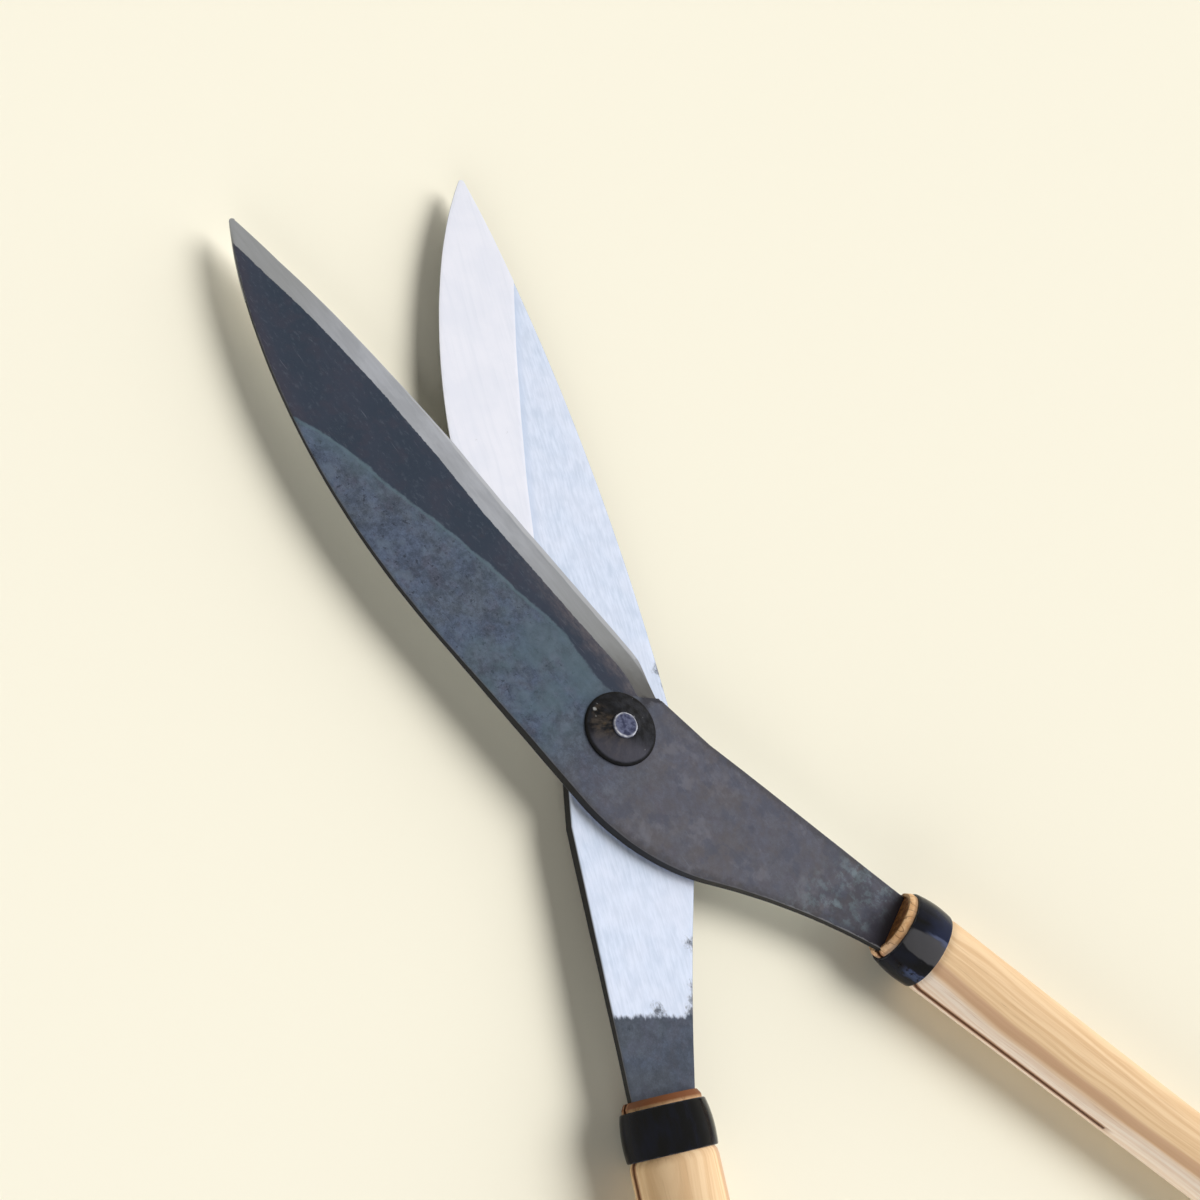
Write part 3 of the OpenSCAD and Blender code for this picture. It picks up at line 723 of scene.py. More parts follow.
# Thickness along a half before the bevel is ground, and the bevel's width.
THICKNESS_X = (-200.0, -111.7, -45.0, HEEL_X, 60.0, 254.0)
THICKNESS_Z = (NECK_T, NECK_T, PLATE_T, PLATE_T, 3.8, 2.0)
BEVEL_X = (-6.0, 0.0, 4.0, 8.0, 15.0, 27.0, 60.0, 100.0, 140.0, 165.0, 200.0, 254.0)
BEVEL_W = (13.0, 13.0, 12.8, 12.3, 12.2, 12.7, 12.2, 12.2, 11.6, 10.7, 10.4, 10.4)
# The upper border of the oiled band.
BAND_X = (-60.0, -2.0, 2.0, 8.0, 15.4, 28.6, 44.3, 64.0,
          84.1, 105.6, 125.5, 147.0, 164.0, 175.0, 200.0, 260.0)
BAND_Y = (-60.0, -26.0, -20.0, -11.0, -4.9, -5.6, -6.3, -1.7, 2.8, 8.8, 15.9, 21.5, 29.2, 36.0, 51.0, 79.0)
# Years of whetting: how far the front edge stands out from its arc.
HONED_X = (8.0, 15.0, 21.0, 34.0, 46.0, 60.0, 85.0, 100.0, 115.0, 130.0, 170.0, 200.0, 215.0, 230.0, 245.0)
HONED_Y = (0.0, 1.2, 1.3, 0.6, -0.1, -0.65, -1.4, -1.5, -1.1, -0.4, 0.0, 0.3, 0.1, -0.3, -0.3)


def soft_table(x, xs, ys, blur):
    """Linear between the table's points, with its corners rounded over blur."""
    total = 0
    for shift in (-1.0, -0.5, 0.0, 0.5, 1.0):
        total = total + np.interp(x + shift * blur, xs, ys)
    return total / 5


def bevel_width(x):
    """The bevel's width, with a soft change along the blade."""
    return soft_table(x, BEVEL_X, BEVEL_W, 6.0)


def honed(half, x):
    """How far whetting has moved the edge outwards."""
    return half.honed * np.interp(x, HONED_X, HONED_Y)


def ripples(plan, scale_x, scale_y, seed):
    """Smooth noise from -1 to 1 at the points of a plan."""
    return np.array([noise.noise(Vector((x * scale_x, y * scale_y, seed))) for x, y in plan])


def dent(depth, x, y, z):
    """A hammer mark at a point of a turned surface, from 0 to depth inwards."""
    return depth * (noise.noise(Vector((x, y, z))) - 1) * 0.5


def inside_edge(half, p):
    """Distance of each point from the cutting edge, positive inside the blade."""
    c, r = np.array(half.edge[0]), half.edge[1]
    return r - np.hypot(p[:, 0] - c[0], p[:, 1] - c[1]) + honed(half, p[:, 0])


def step_line(half):
    """Where the bevel's step starts at the notch, and the way it runs."""
    return np.array([NOTCH_X + 0.6, -half.notch - 0.4]), np.array([6.0, 8.4]) / math.hypot(6.0, 8.4)


def step_side(half, p):
    """Distance past the line where the bevel stops behind the heel, positive on the blade's side."""
    a, d = step_line(half)
    return (p[:, 0] - a[0]) * d[1] - (p[:, 1] - a[1]) * d[0]


def bevel_left(half, p):
    """How far a point lies inside the bevel, over the ridge line; negative on the flat."""
    return np.minimum(bevel_width(p[:, 0]) - inside_edge(half, p), step_side(half, p) * 2.0)


def outer_height(half, p):
    """Heights of the outer face over the inner one: the flat, the bevel, and hammer marks that stay
    clear of the washer, the edge and the wood."""
    flat = soft_table(p[:, 0], THICKNESS_X, THICKNESS_Z, 5.0)
    slope = (flat - EDGE_T) / bevel_width(p[:, 0])
    bevel = EDGE_T + slope * np.maximum(inside_edge(half, p), 0)
    rise = np.clip(step_side(half, p) / STEP_L, 0, 1)
    bevel = flat + (np.minimum(bevel, flat) - flat) * rise
    wave = ripples(p, 0.035, 0.05, half.seed)
    dents = ripples(p, 0.11, 0.13, half.seed + 4)
    calm = np.clip((np.hypot(p[:, 0], p[:, 1]) - 14) / 10, 0, 1) * np.clip(inside_edge(half, p) / 6, 0, 1)
    free = np.clip((p[:, 0] + 130) / 12, 0, 1)
    return bevel - (0.10 * (wave + 1) + 0.05 * (dents + 1)) * calm * free


def inside(points, loop):
    """Which points lie inside a closed loop."""
    hit = np.zeros(len(points), bool)
    a, b = loop, np.roll(loop, -1, axis=0)
    for (x0, y0), (x1, y1) in zip(a, b):
        if y0 == y1:
            continue
        crosses = (points[:, 1] > min(y0, y1)) & (points[:, 1] <= max(y0, y1))
        at = x0 + (points[:, 1] - y0) * (x1 - x0) / (y1 - y0)
        hit ^= crosses & (points[:, 0] < at)
    return hit


def distance_to(points, run, closed=True):
    """Distance from each point to a run of line segments."""
    tree = KDTree(len(run))
    for i, q in enumerate(run):
        tree.insert((q[0], q[1], 0), i)
    tree.balance()
    near = np.array([tree.find((q[0], q[1], 0))[1] for q in points])
    best = np.full(len(points), 1e9)
    last = len(run) if closed else len(run) - 1
    for shift in (-1, 0):
        i = (near + shift) % len(run) if closed else np.clip(near + shift, 0, last - 1)
        start, d = run[i], run[(i + 1) % len(run)] - run[i]
        t = np.clip(np.sum((points - start) * d, 1) / np.maximum(np.sum(d * d, 1), 1e-12), 0, 1)
        best = np.minimum(best, np.hypot(*(points - start - t[:, None] * d).T))
    return best


def offset_loop(loop, inward):
    """A loop moved inwards; inward is one distance for each point of a counter-clockwise loop."""
    before, after = loop - np.roll(loop, 1, axis=0), np.roll(loop, -1, axis=0) - loop
    n1 = np.stack([-before[:, 1], before[:, 0]], 1) / np.linalg.norm(before, axis=1)[:, None]
    n2 = np.stack([-after[:, 1], after[:, 0]], 1) / np.linalg.norm(after, axis=1)[:, None]
    n = n1 + n2
    n /= np.linalg.norm(n, axis=1)[:, None]
    stretch = 1 / np.clip(np.sum(n * n1, 1), 0.6, 1)
    return loop + n * (inward * stretch)[:, None]


def set_attributes(mesh, place, values):
    """What the materials read: each vertex's place, and {name: number for each vertex}."""
    for label, kind, field, numbers in [("place", "FLOAT_VECTOR", "vector", place)] + [
            (label, "FLOAT", "value", numbers) for label, numbers in values.items()]:
        data = mesh.attributes.new(label, kind, "POINT").data
        data.foreach_set(field, np.asarray(numbers, np.float32).ravel())


def make_mesh(name, points, faces, matrix, material, attributes, upright=False):
    """A mesh object at the origin from points in millimetres in their own frame; its place attribute
    is in that frame, or with upright in the part's."""
    mesh = bpy.data.meshes.new(name)
    mesh.from_pydata([tuple(p) for p in points], [], faces)
    set_attributes(mesh, [matrix @ Vector(p) for p in points] if upright else points, attributes)
    mesh.transform(Matrix.Scale(MM, 4) @ matrix)
    mesh.materials.append(material)
    mesh.shade_smooth()
    mesh.update()
    return new_object(name, mesh)


def plan_solid(name, loop, holes, creases, top, bottom, radius, spacing, matrix, material, paint):
    """A plate with a given plan, a flat underside at the height bottom and rounded rims.
    top gives the heights over the plan, and paint the attributes; creases are open runs of points
    that the surface's edges follow."""
    r = np.minimum(radius, 0.4 * (top(loop) - bottom))
    angles = [math.radians(a) for a in (0, 30, 60, 90)]
    rings = [offset_loop(loop, r * (1 - math.cos(a)) + 1e-4) for a in angles]
    border = rings[-1]
    count = len(border)
    z_top = top(border)

    def in_plate(p):
        return inside(p, border) & ~np.any([inside(p, hole) for hole in holes], axis=0)

    # Points of the plan: the border, the creases, the holes and a fill of staggered rows.
    points, edges = [tuple(p) for p in border], [(i, (i + 1) % count) for i in range(count)]
    fixed = [(border, True)]
    for run in creases:
        keep = inside(run, border) & (distance_to(run, border) > spacing * 0.45)
        start = None
        for i, ok in enumerate(keep):
            if ok:
                points.append(tuple(run[i]))
                if start is not None:
                    edges.append((start, len(points) - 1))
                start = len(points) - 1
            else:
                start = None
        if keep.any():
            fixed.append((run[keep], False))
    hole_starts = []
    for hole in holes:
        first = len(points)
        hole_starts.append(first)
        points += [tuple(p) for p in hole]
        edges += [(first + i, first + (i + 1) % len(hole)) for i in range(len(hole))]
        fixed.append((hole, True))
    low, high = border.min(0), border.max(0)
    rows = np.arange(low[1], high[1], spacing * 0.87)
    fill = np.array([(x + (j % 2) * spacing / 2, y) for j, y in enumerate(rows)
                     for x in np.arange(low[0], high[0], spacing)])
    fill = fill[in_plate(fill)]
    for run, closed in fixed:
        fill = fill[distance_to(fill, run, closed) > spacing * 0.5]
    points += [tuple(p) for p in fill]

    # Triangles over the plan, all facing up; at says where each point went.
    found, _, triangles, origin, _, _ = delaunay_2d_cdt([Vector(p) for p in points], edges, [], 0, 1e-5)
    at = {old: new for new, olds in enumerate(origin) for old in olds}
    plan = np.array([(v.x, v.y) for v in found])
    tris = np.array([t for t in triangles if len(t) == 3])
    tris = tris[in_plate(plan[tris].mean(1))]
    ab, ac = plan[tris[:, 1]] - plan[tris[:, 0]], plan[tris[:, 2]] - plan[tris[:, 0]]
    flip = ab[:, 0] * ac[:, 1] < ab[:, 1] * ac[:, 0]
    tris[flip] = tris[flip][:, ::-1]

    # Both faces, then strips of quads from the upper border to the lower one, and the holes' walls.
    n = len(plan)
    verts = [np.column_stack([plan, top(plan)]), np.column_stack([plan, np.full(n, bottom)])]
    faces = [tuple(t) for t in tris] + [tuple(int(i) + n for i in t[::-1]) for t in tris]
    strips = [[at[i] for i in range(count)]]
    base = 2 * n
    turns = len(angles) - 1
    mids = (0.75, 0.5, 0.25)
    for ring, a in list(zip(rings, angles))[-2::-1]:
        verts.append(np.column_stack([ring, z_top - r * (1 - math.sin(a))]))
    for share in mids:
        verts.append(np.column_stack([loop, bottom + r + (z_top - bottom - 2 * r) * share]))
    for ring, a in list(zip(rings, angles))[:-1]:
        verts.append(np.column_stack([ring, bottom + r * (1 - math.sin(a))]))
    strips += [range(base + k * count, base + (k + 1) * count) for k in range(2 * turns + len(mids))]
    strips.append([at[i] + n for i in range(count)])
    for upper, lower in zip(strips, strips[1:]):
        for i in range(count):
            j = (i + 1) % count
            faces.append((upper[i], lower[i], lower[j], upper[j]))
    for hole, first in zip(holes, hole_starts):
        ids = [at[first + i] for i in range(len(hole))]
        for i, j in zip(ids, ids[1:] + ids[:1]):
            faces.append((j, j + n, i + n, i))
    verts = np.vstack(verts)
    inner = np.zeros(len(verts))
    inner[n:base] = 1
    inner[-turns * count:] = np.repeat([0.0, 0.25, 0.75], count)
    wall = np.zeros(len(verts))
    wall[base + (turns - 1) * count:base + (turns + len(mids) + 1) * count] = 1
    attributes = {"inner": inner, "wall": wall, **paint(verts[:, :2])}
    piece = make_mesh(name, verts, faces, matrix, material, attributes)
    piece.data.set_sharp_from_angle(angle=math.radians(32))
    return piece


def weld_line(step):
    """The line between the edge steel and the soft iron, from behind the heel to past the tip."""
    centre, radius = np.array([-113.0, 1289.3]), 1315.0
    xs = np.arange(STEEL_START, 262.0, step)
    ys = centre[1] - np.sqrt(radius ** 2 - (xs - centre[0]) ** 2)
    plan = np.column_stack([xs, np.ones_like(xs)])
    return np.column_stack([xs, ys + 0.30 * ripples(plan, 0.05, 2.0, 0.0)])


def painted(half, loop):
    """Attributes of the iron and the steel over the plan, in millimetres."""
    weld = weld_line(1.5)

    def paint(p):
        spots = np.full(len(p), 30.0)
        for x, y, r in half.nicks:
            spots = np.minimum(spots, np.hypot(p[:, 0] - x, p[:, 1] - y) - r)
        band_y = soft_table(p[:, 0], BAND_X, BAND_Y, 5.0)
        y_weld = np.interp(p[:, 0], weld[:, 0], weld[:, 1])
        return {"edge_in": inside_edge(half, p), "ridge": bevel_left(half, p),
                "band": (p[:, 1] - band_y) * 0.93, "rim": distance_to(p, loop),
                "weld": np.maximum(p[:, 1] - y_weld, 0) + np.maximum(STEEL_START - p[:, 0], 0),
                "nick": spots, "step": step_side(half, p)}
    return paint


def crease_runs(half):
    """The bevel's ridge line and the step behind the heel."""
    k = key_points(half)
    xs = np.arange(6.0, 252.0, 1.3)
    angle = np.arcsin((xs - k.ec[0]) / k.er)
    reach = k.er - bevel_width(xs) + honed(half, xs)
    ridge = np.column_stack([k.ec[0] + reach * np.sin(angle), k.ec[1] - reach * np.cos(angle)])
    ridge = ridge[step_side(half, ridge) > 1.2]
    a, d = step_line(half)
    side = np.array([d[1], -d[0]])
    steps = [np.array([a + d * t + side * off for t in np.arange(0.8, 10.2, 0.7)])
             for off in (0.0, STEP_L)]
    return [ridge] + steps


def circle(radius, count):
    """Points of a circle round the pivot, counter-clockwise."""
    return np.array([(radius * math.cos(2 * math.pi * i / count), radius * math.sin(2 * math.pi * i / count))
                     for i in range(count)])


def hand_cut(half):
    """One half's outline with the slight waves of hand work, always inwards."""
    loop = half_outline(half)
    return offset_loop(loop, 0.06 * (1 + ripples(loop, 0.09, 0.09, half.seed)))


def forged_half(name, half, matrix):
    """The iron of one half: blade, pivot plate and neck."""
    loop = hand_cut(half)

    def top(p):
        return FACE_Z + outer_height(half, p)

    return plan_solid(name, loop, [circle(BORE_R, 40)[::-1]], crease_runs(half), top, FACE_Z, 0.55,
                      IRON_SPACING, matrix, IRON, painted(half, loop))


def steel_strip(name, half, matrix):
    """The welded strip, a hair proud of the iron that carries it."""
    full = hand_cut(half)
    weld = weld_line(OUTLINE_STEP)
    k = key_points(half)
    on_edge = (np.arange(len(full)) < np.argmax(full[:, 0])) & (full[:, 0] > STEEL_START)
    tip = np.hypot(*(full - k.tip).T) < TIP_R + 2.0
    past_weld = full[:, 1] < np.interp(full[:, 0], weld[:, 0], weld[:, 1])
    edge_run = full[on_edge | (tip | past_weld) & (full[:, 0] > NEAR_TIP_X)]
    on_plan = weld[weld[:, 0] < edge_run[-1][0] - 0.5][::-1]
    start = (STEEL_START, full[on_edge][0][1] + 0.05)
    closing = line_points((STEEL_START, on_plan[-1][1]), start)
    loop = joined([edge_run, on_plan, closing])
    loop = offset_loop(loop, np.full(len(loop), -0.02))

    def top(p):
        return FACE_Z + np.minimum(outer_height(half, p) + STEEL_PROUD, STEEL_T)

    return plan_solid(name, loop, [], [], top, FACE_Z - STEEL_PROUD, 0.12, STEEL_SPACING, matrix, STEEL,
                      painted(half, full))


def revolve(name, profile, count, material, extra, jitter=None, matrix=TO_Z, oval=1.0, upright=True):
    """A closed ring or a solid turned round its own X from (x, radius) points; jitter moves radii,
    and extra gives attributes."""
    rows = len(profile)
    verts, faces = [], []
    for i in range(count):
        a = 2 * math.pi * i / count
        for k, (x, radius) in enumerate(profile):
            rr = radius + (jitter(x, a, radius) if jitter else 0)
            verts.append((x, rr * math.cos(a), rr * math.sin(a) * oval))
    for i in range(count):
        j = (i + 1) % count
        for k in range(rows):
            m = (k + 1) % rows
            faces.append((i * rows + k, j * rows + k, j * rows + m, i * rows + m))
    piece = make_mesh(name, verts, faces, matrix, material, extra(np.array(verts)), upright)
    bm = bmesh.new()
    bm.from_mesh(piece.data)
    bmesh.ops.remove_doubles(bm, verts=bm.verts, dist=1e-7)
    bmesh.ops.recalc_face_normals(bm, faces=bm.faces)
    bm.to_mesh(piece.data)
    bm.free()
    piece.data.set_sharp_from_angle(angle=math.radians(35))
    return piece


def ferrule(name, matrix, seed):
    """A barrel-shaped band with rolled rims."""
    def crown(x):
        return FERRULE_R - CROWN_R + math.sqrt(CROWN_R ** 2 - (x - CROWN_X) ** 2)

    start_r, end_r = crown(0.0), crown(FERRULE_L)
    profile = [(FERRULE_START, FERRULE_BORE_R), (FERRULE_START, start_r - 0.55),
               (FERRULE_START + 0.08, start_r - 0.25), (FERRULE_START + 0.2, start_r - 0.08)]
    profile += [(FERRULE_START + x, crown(x)) for x in np.linspace(0.45, FERRULE_L - 0.45, 22)]
    profile += [(FERRULE_END - 0.2, end_r - 0.08), (FERRULE_END - 0.06, end_r - 0.28),
                (FERRULE_END, end_r - 0.6), (FERRULE_END, FERRULE_BORE_R)]

    def jitter(x, a, radius):
        if radius == FERRULE_BORE_R:
            return 0
        return dent(0.10, x * 0.12, 2.2 * math.cos(a), 2.2 * math.sin(a) + seed)

    def extra(v):
        return {"rim": np.minimum(v[:, 0] - FERRULE_START, FERRULE_END - v[:, 0])}

    return revolve(name, profile, 128, FERRULE, extra, jitter, matrix, OVAL, upright=False)


def washer_piece(name):
    """The dished washer: a cone of sheet with a narrow rim, hammered slightly uneven."""
    outer = [(OUTER_Z + z, WASHER_R - inside_r) for z, inside_r in
             ((0, 1.6), (0, 0.15), (0.2, 0), (0.55, 0.02), (0.95, 0.25), (1.2, 0.7))]
    start, end = np.array([OUTER_Z + 1.3, WASHER_R - 1.2]), np.array([WASHER_TOP, PIN_R + 0.9])
    cone = [tuple(start + (end - start) * t) for t in np.linspace(0, 1, 12)]
    inner = [(WASHER_TOP, BORE_R), (WASHER_TOP - WASHER_T, BORE_R)]

    def jitter(x, a, radius):
        return 0 if radius < PIN_R + 0.5 else dent(0.16, 2.5 * math.cos(a), 2.5 * math.sin(a), 7)

    def extra(v):
        # A chip of the blacking at (10.6, 7.1) in the part's plan, and a smaller one beside it.
        x, y = -v[:, 2], v[:, 1]
        spot = np.minimum(np.hypot(x - 10.6, y - 7.1), np.hypot(x - 12.2, y - 5.2) + 0.4)
        return {"rim": WASHER_R - np.hypot(x, y), "spot": spot}

    return revolve(name, outer + cone + inner, 96, WASHER, extra, jitter)


def pin_piece(name):
    """The rivet: hammered front end, shank and domed rear head."""
    peen = [(WASHER_TOP + z, radius) for z, radius in
            ((1.35, 0.0), (1.34, 1.5), (1.30, 2.9), (1.22, 4.0), (1.28, 4.45), (1.15, 4.85), (0.75, 5.15),
             (0.3, 5.2), (0, 5.05), (0, PIN_R))]
    seat = -(REAR_FACE + REAR_WASHER_T)
    ball = (HEAD_R ** 2 + HEAD_H ** 2) / (2 * HEAD_H)
    head = [(seat, PIN_R), (seat, HEAD_R - 0.2), (seat - 0.2, HEAD_R - 0.08)]
    for a in np.linspace(math.asin((HEAD_R - 0.2) / ball), 0, 12):
        head.append((seat - HEAD_H + ball - ball * math.cos(a), ball * math.sin(a)))
    profile = peen + [(z, PIN_R) for z in (4.0, -1.0, -5.0)] + head

    def jitter(x, a, radius):
        return 0.08 * (math.cos(7 * a + 0.4) - 1) if x > WASHER_TOP + 0.2 and radius > 3.5 else 0

    def extra(v):
        burr = np.clip(1 - np.abs(np.hypot(v[:, 1], v[:, 2]) - 4.75) / 0.45, 0, 1)
        return {"burr": burr * (v[:, 0] > WASHER_TOP)}

    return revolve(name, profile[::-1], 84, PIN, extra, jitter)


def rear_washer_piece(name):
    """The flat washer between the rear half and the rivet's head."""
    profile = [(-REAR_FACE - z, radius) for z, radius in
               ((0, BORE_R), (0, REAR_WASHER_R - 0.2), (0.15, REAR_WASHER_R),
                (REAR_WASHER_T - 0.3, REAR_WASHER_R), (REAR_WASHER_T, REAR_WASHER_R - 0.3),
                (REAR_WASHER_T, BORE_R))]

    def extra(v):
        return {"rim": REAR_WASHER_R - np.hypot(v[:, 1], v[:, 2]), "spot": np.full(len(v), 9.0)}

    return revolve(name, profile, 72, WASHER, extra)


# Radius of the handle at shares of its length; the curve holds it in units of CURVE_UNIT.
SEAT_END = (FERRULE_END + 0.05 - WOOD_START) / HANDLE_L
HANDLE_CURVE = (
    (0.0, 13.7), (0.9 / HANDLE_L, 14.45), (1.6 / HANDLE_L, SEAT_R), (SEAT_END, SEAT_R),
    (SEAT_END + 0.0012, 16.4), (0.12, 16.15), (0.30, 15.6), (0.45, 15.4), (0.65, 15.9), (0.85, 16.9),
    (0.975, 17.38),
    (1 - 3.4 / HANDLE_L, 16.9), (1 - 1.5 / HANDLE_L, 15.7), (1 - 0.4 / HANDLE_L, 14.0), (1.0, 12.6))
CURVE_UNIT = 20


def wood_tree():
    """Geometry nodes for a turned handle: a line swept with a radius that follows its length."""
    tree = bpy.data.node_groups.new("turned handle", "GeometryNodeTree")
    for label, kind, default in (
            ("Geometry", "Geometry", None), ("Start", "Float", WOOD_START), ("Length", "Float", HANDLE_L),
            ("Oval", "Float", OVAL), ("Facet", "Float", 0.12), ("Rings", "Int", 240), ("Sides", "Int", 96),
            ("Seed", "Int", 1), ("Material", "Material", WOOD)):
        socket = tree.interface.new_socket(label, in_out="INPUT", socket_type="NodeSocket" + kind)
        if default is not None:
            socket.default_value = default
    tree.interface.new_socket("Geometry", in_out="OUTPUT", socket_type="NodeSocketGeometry")

    s = Shading(tree)
    takes = s.outputs(s.node("NodeGroupInput"))
    start, end = takes["Start"], takes["Start"] + takes["Length"]
    line = s.get("GeometryNodeCurvePrimitiveLine", 0, {"Start": s.join(start), "End": s.join(end)})
    rows = s.get("GeometryNodeResampleCurve", 0, {"Curve": line, "Count": takes["Rings"]})
    shape = s.node("ShaderNodeFloatCurve", {"Value": s.get("GeometryNodeSplineParameter", "Factor")})
    curve = shape.mapping.curves[0]
    while len(curve.points) < len(HANDLE_CURVE):
        curve.points.new(0.5, 0.5)
    for point, (share, radius) in zip(curve.points, HANDLE_CURVE):
        point.location = (share, radius / CURVE_UNIT)
        point.handle_type = "VECTOR"
    shape.mapping.update()
    radius = Value(s, shape.outputs[0]) * CURVE_UNIT
    fat = s.get("GeometryNodeSetCurveRadius", 0, {"Curve": rows, "Radius": radius})
    ring = s.get("GeometryNodeCurvePrimitiveCircle", 0, {"Resolution": takes["Sides"], "Radius": 1.0})
    sweep = s.node("GeometryNodeCurveToMesh", {"Curve": fat, "Profile Curve": ring, "Fill Caps": True})
    if "Scale" in sweep.inputs:
        s.put(sweep.inputs["Scale"], radius)
    flat = s.get("GeometryNodeTransform", 0,
                 {"Geometry": Value(s, sweep.outputs[0]), "Scale": s.join(1, 1, takes["Oval"])})
    # The shave marks of the maker's plane, always inwards.
    where = s.get("GeometryNodeInputPosition", 0)
    slow = s.get("ShaderNodeVectorMath", 0, {0: where, 1: (0.02, 0.16, 0.16)}, operation="MULTIPLY")
    marks = s.get("ShaderNodeTexNoise", "Fac",
                  {"Vector": slow, "W": takes["Seed"], "Scale": 1.0, "Detail": 1.0}, noise_dimensions="4D")
    inward = s.scaled(s.get("GeometryNodeInputNormal", 0), marks * (takes["Facet"] * -1))
    shaved = s.get("GeometryNodeSetPosition", 0, {"Geometry": flat, "Offset": inward})
    real = s.get("GeometryNodeRealizeInstances", 0, {0: shaved})
    skin = s.get("GeometryNodeSetMaterial", 0, {"Geometry": real, "Material": takes["Material"]})
    s.put(s.node("NodeGroupOutput").inputs[0], skin)
    return tree


WOOD_TREE = wood_tree()


def finished(maker, *helpers):
    """The mesh that an object's modifiers make; the object and its helpers are thrown away."""
    graph = bpy.context.evaluated_depsgraph_get()
    mesh = bpy.data.meshes.new_from_object(maker.evaluated_get(graph))
    maker.modifiers.clear()
    for made in (maker,) + helpers:
        bpy.data.objects.remove(made)
    return mesh


def cutter_mesh(name):
    """What is cut out of the wood: the saw line, the neck's mouth and the dished end."""
    bm = bmesh.new()
    mouth = NECK_T / 2 + 0.1
    boxes = [((WOOD_START - 3, -24, -KERF / 2), (WOOD_START + SAW_CUT_L, 24, KERF / 2)),
             ((WOOD_START - 3, -NECK_W / 2 - 1.6, -mouth), (TANG_START + 0.1, NECK_W / 2 + 0.1, mouth))]
    for low, high in boxes:
        for v in bmesh.ops.create_cube(bm, size=1.0)["verts"]:
            v.co = Vector([low[i] + (v.co[i] + 0.5) * (high[i] - low[i]) for i in range(3)])
    turn = (Matrix.Translation((WOOD_START - 1, 0, 0)) @ Matrix.Diagonal((1, 1, OVAL, 1))
            @ Matrix.Rotation(math.radians(90), 4, "Y"))
    bmesh.ops.create_cone(bm, cap_ends=True, segments=96, radius1=DISH_R + 0.3, radius2=DISH_R - 0.9,
                          depth=2 * (DISH + 1), matrix=turn)
    mesh = bpy.data.meshes.new(name)
    bm.to_mesh(mesh)
    bm.free()
    return mesh


def wood_piece(name, matrix, seed):
    """One handle: the turned wood with its saw cut, the mouth for the neck and a flat butt.
    seed is 1 or 2, and turns and shifts the grain."""
    maker = new_object(name + "_maker", bpy.data.meshes.new(name + "_line"))
    tool = maker.modifiers.new("turned", "NODES")
    tool.node_group = WOOD_TREE
    for item in WOOD_TREE.interface.items_tree:
        if item.in_out == "INPUT" and item.name == "Seed":
            tool[item.identifier] = seed
    blank = new_object(name + "_blank", finished(maker))
    saw = new_object(name + "_saw", cutter_mesh(name + "_cut"))
    cut = blank.modifiers.new("cut", "BOOLEAN")
    cut.operation = "DIFFERENCE"
    cut.solver = "EXACT"
    cut.use_self = True
    cut.object = saw
    mesh = finished(blank, saw)
    mesh.name = name

    v = np.zeros(len(mesh.vertices) * 3)
    mesh.vertices.foreach_get("co", v)
    v = v.reshape(-1, 3)
    x, radial = v[:, 0], np.hypot(v[:, 1], v[:, 2] / OVAL)
    dished = (x < WOOD_START + DISH + 0.05) & (radial < DISH_R + 0.05)
    butt = np.clip((x - WOOD_START - HANDLE_L + 0.3) / 0.3, 0, 1)
    slot = (np.abs(v[:, 2]) < KERF / 2 + 0.02) & (x < WOOD_START + SAW_CUT_L + 0.05) & (radial < 15.2)
    tilt = math.radians(50.0 - 110.0 * (seed - 1))
    set_attributes(mesh, v + np.array([900.0 * (seed - 1), 0, 0]), {
        "end": np.maximum(dished, butt),
        "nose": np.clip(1 - (x - FERRULE_START) / 0.5, 0, 1),
        "layer": -math.cos(tilt) * v[:, 1] - math.sin(tilt) * v[:, 2],
        "slot": slot,
        "past_cut": np.clip((x - WOOD_START - SAW_CUT_L + 2) / 6, 0, 1)})
    mesh.transform(Matrix.Scale(MM, 4) @ matrix)
    mesh.materials.clear()
    mesh.materials.append(WOOD)
    mesh.shade_smooth()
    mesh.set_sharp_from_angle(angle=math.radians(38))
    return new_object(name, mesh)


def settle(piece, body, node):
    """The piece stands for a CAD node and rides on its body."""
    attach(piece, body)
    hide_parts(node)


FRONT_WOOD = handle_place(FRONT, FRONT_PLACE)
REAR_WOOD = handle_place(REAR, REAR_PLACE)

settle(forged_half("front_blade_forged", FRONT, FRONT_PLACE),
       "front_half", "front_blade")
settle(steel_strip("front_edge_strip", FRONT, FRONT_PLACE),
       "front_half", "front_edge_steel")
settle(forged_half("rear_blade_forged", REAR, REAR_PLACE), "rear_half", "rear_blade")
settle(steel_strip("rear_edge_strip", REAR, REAR_PLACE), "rear_half", "rear_edge_steel")
settle(ferrule("front_ferrule_band", FRONT_WOOD, 1.0), "front_half", "front_ferrule")
settle(ferrule("rear_ferrule_band", REAR_WOOD, 6.0), "rear_half", "rear_ferrule")
settle(wood_piece("front_handle_wood", FRONT_WOOD, 1), "front_half", "front_handle")
settle(wood_piece("rear_handle_wood", REAR_WOOD, 2), "rear_half", "rear_handle")
settle(washer_piece("dished_washer"), "front_half", "front_washer")
settle(pin_piece("riveted_pin"), "front_half", "pivot_pin")
settle(rear_washer_piece("flat_washer"), "front_half", "rear_washer")


# Floor, light and background, in metres

PAPER = rgb(251, 245, 225)
FLOOR_SIZE = 20.0
FLOOR_Z = -0.01474
FLOOR_SLOPE = (0.0105, -0.0211)
LAMP_COLOR = (1.0, 1.01, 1.06)


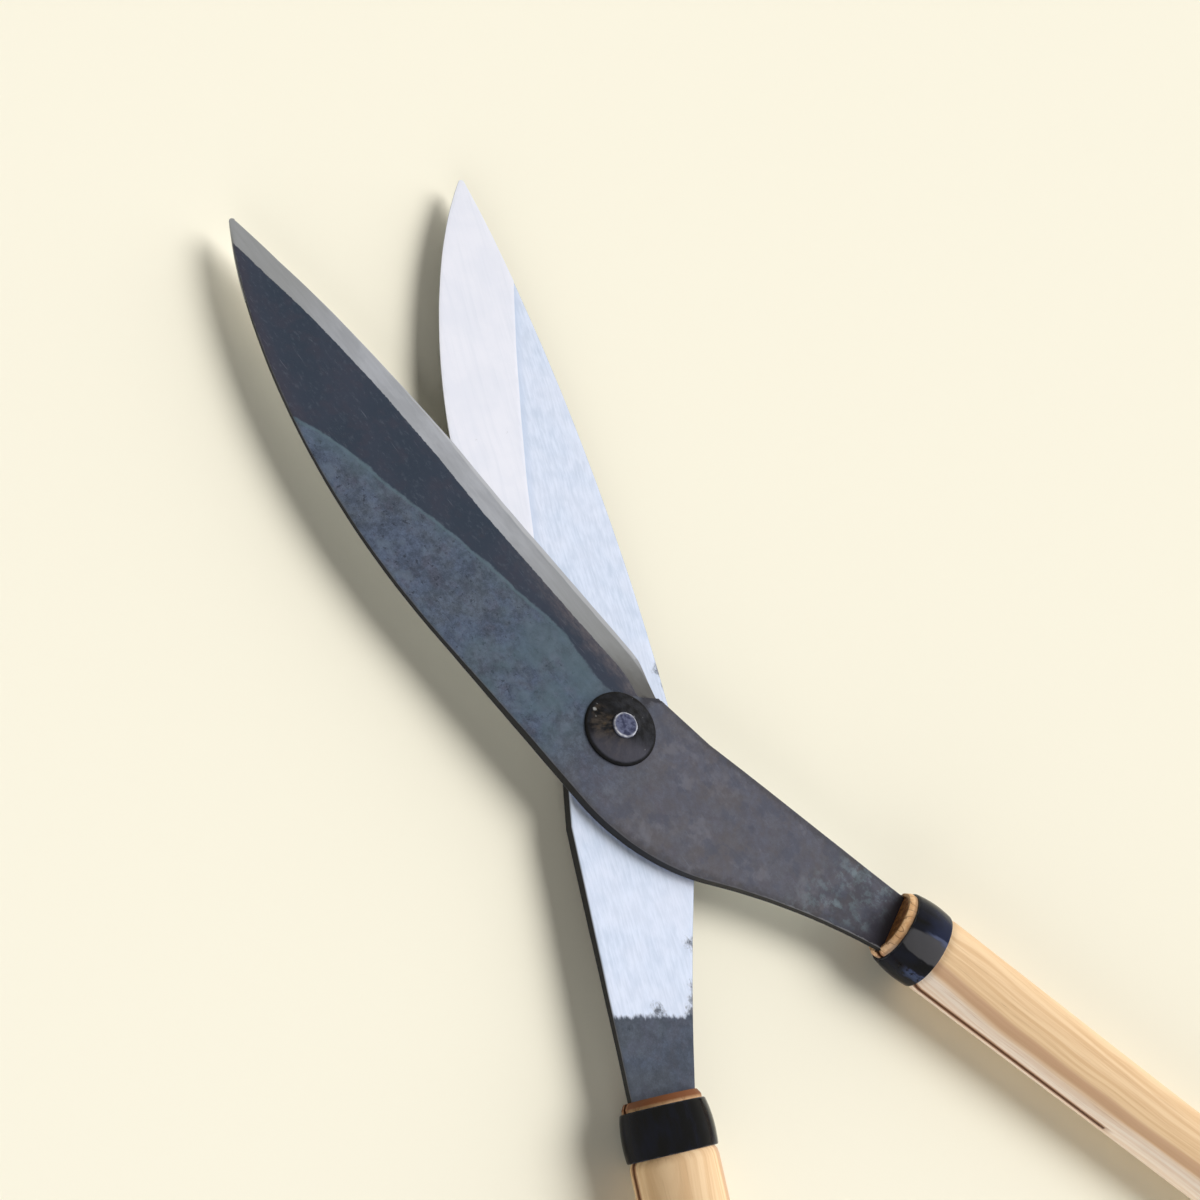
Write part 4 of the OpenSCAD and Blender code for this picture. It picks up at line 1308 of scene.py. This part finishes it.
def make_floor():
    """A plane tilted to hold the rear ferrule and the front butt, both less than 1 mm clear of it."""
    mesh = bpy.data.meshes.new("floor")
    corners = [(FLOOR_SIZE * i, FLOOR_SIZE * j) for i, j in ((-1, -1), (1, -1), (1, 1), (-1, 1))]
    mesh.from_pydata([(x, y, FLOOR_Z + FLOOR_SLOPE[0] * x + FLOOR_SLOPE[1] * y) for x, y in corners], [],
                     [(0, 1, 2, 3)])
    mesh.materials.append(new_material("paper floor", lambda s: s.surface(
        Base_Color=(0.965, 0.905, 0.712, 1.0), Roughness=1.0, Specular_IOR_Level=0.0)))
    floor = new_object("floor", mesh)


def add_sun(name, toward, level, spread):
    """A soft lamp far away; level is the share of the floor's light that it gives."""
    lamp = bpy.data.lights.new(name, "SUN")
    way = Vector(toward).normalized()
    lamp.energy = level * math.pi / -way.z
    lamp.angle = math.radians(spread)
    lamp.color = LAMP_COLOR
    sun = new_object(name, lamp)
    sun.rotation_mode = "QUATERNION"
    sun.rotation_quaternion = way.to_track_quat("-Z", "Y")
    sun.visible_glossy = False


def make_light():
    """Three soft suns, and a room that gives little light but shows as paper in the picture."""
    add_sun("key", (0.131, 0.615, -0.777), 0.47, 34)
    add_sun("wide", (0.166, 0.827, -0.541), 0.33, 70)
    add_sun("fill", (0.70, -0.64, -0.20), 0.11, 50)

    world = bpy.data.worlds.new("room")
    bpy.context.scene.world = world
    world.use_nodes = True
    world.node_tree.nodes.clear()
    s = Shading(world.node_tree)
    rays = s.outputs(s.node("ShaderNodeLightPath"))
    seen = s.math("MAXIMUM", rays["Is Camera Ray"],
                  s.math("MAXIMUM", rays["Is Glossy Ray"], rays["Is Transmission Ray"]))
    dim = s.get("ShaderNodeBackground", 0, {"Color": (0.94, 0.97, 1.0, 1), "Strength": 0.10})
    back = s.get("ShaderNodeBackground", 0, {"Color": PAPER, "Strength": 1.0})
    s.node("ShaderNodeOutputWorld", {"Surface": s.get("ShaderNodeMixShader", 0, {0: seen, 1: dim, 2: back})})


make_floor()
make_light()
bpy.context.scene.view_settings.view_transform = "Standard"
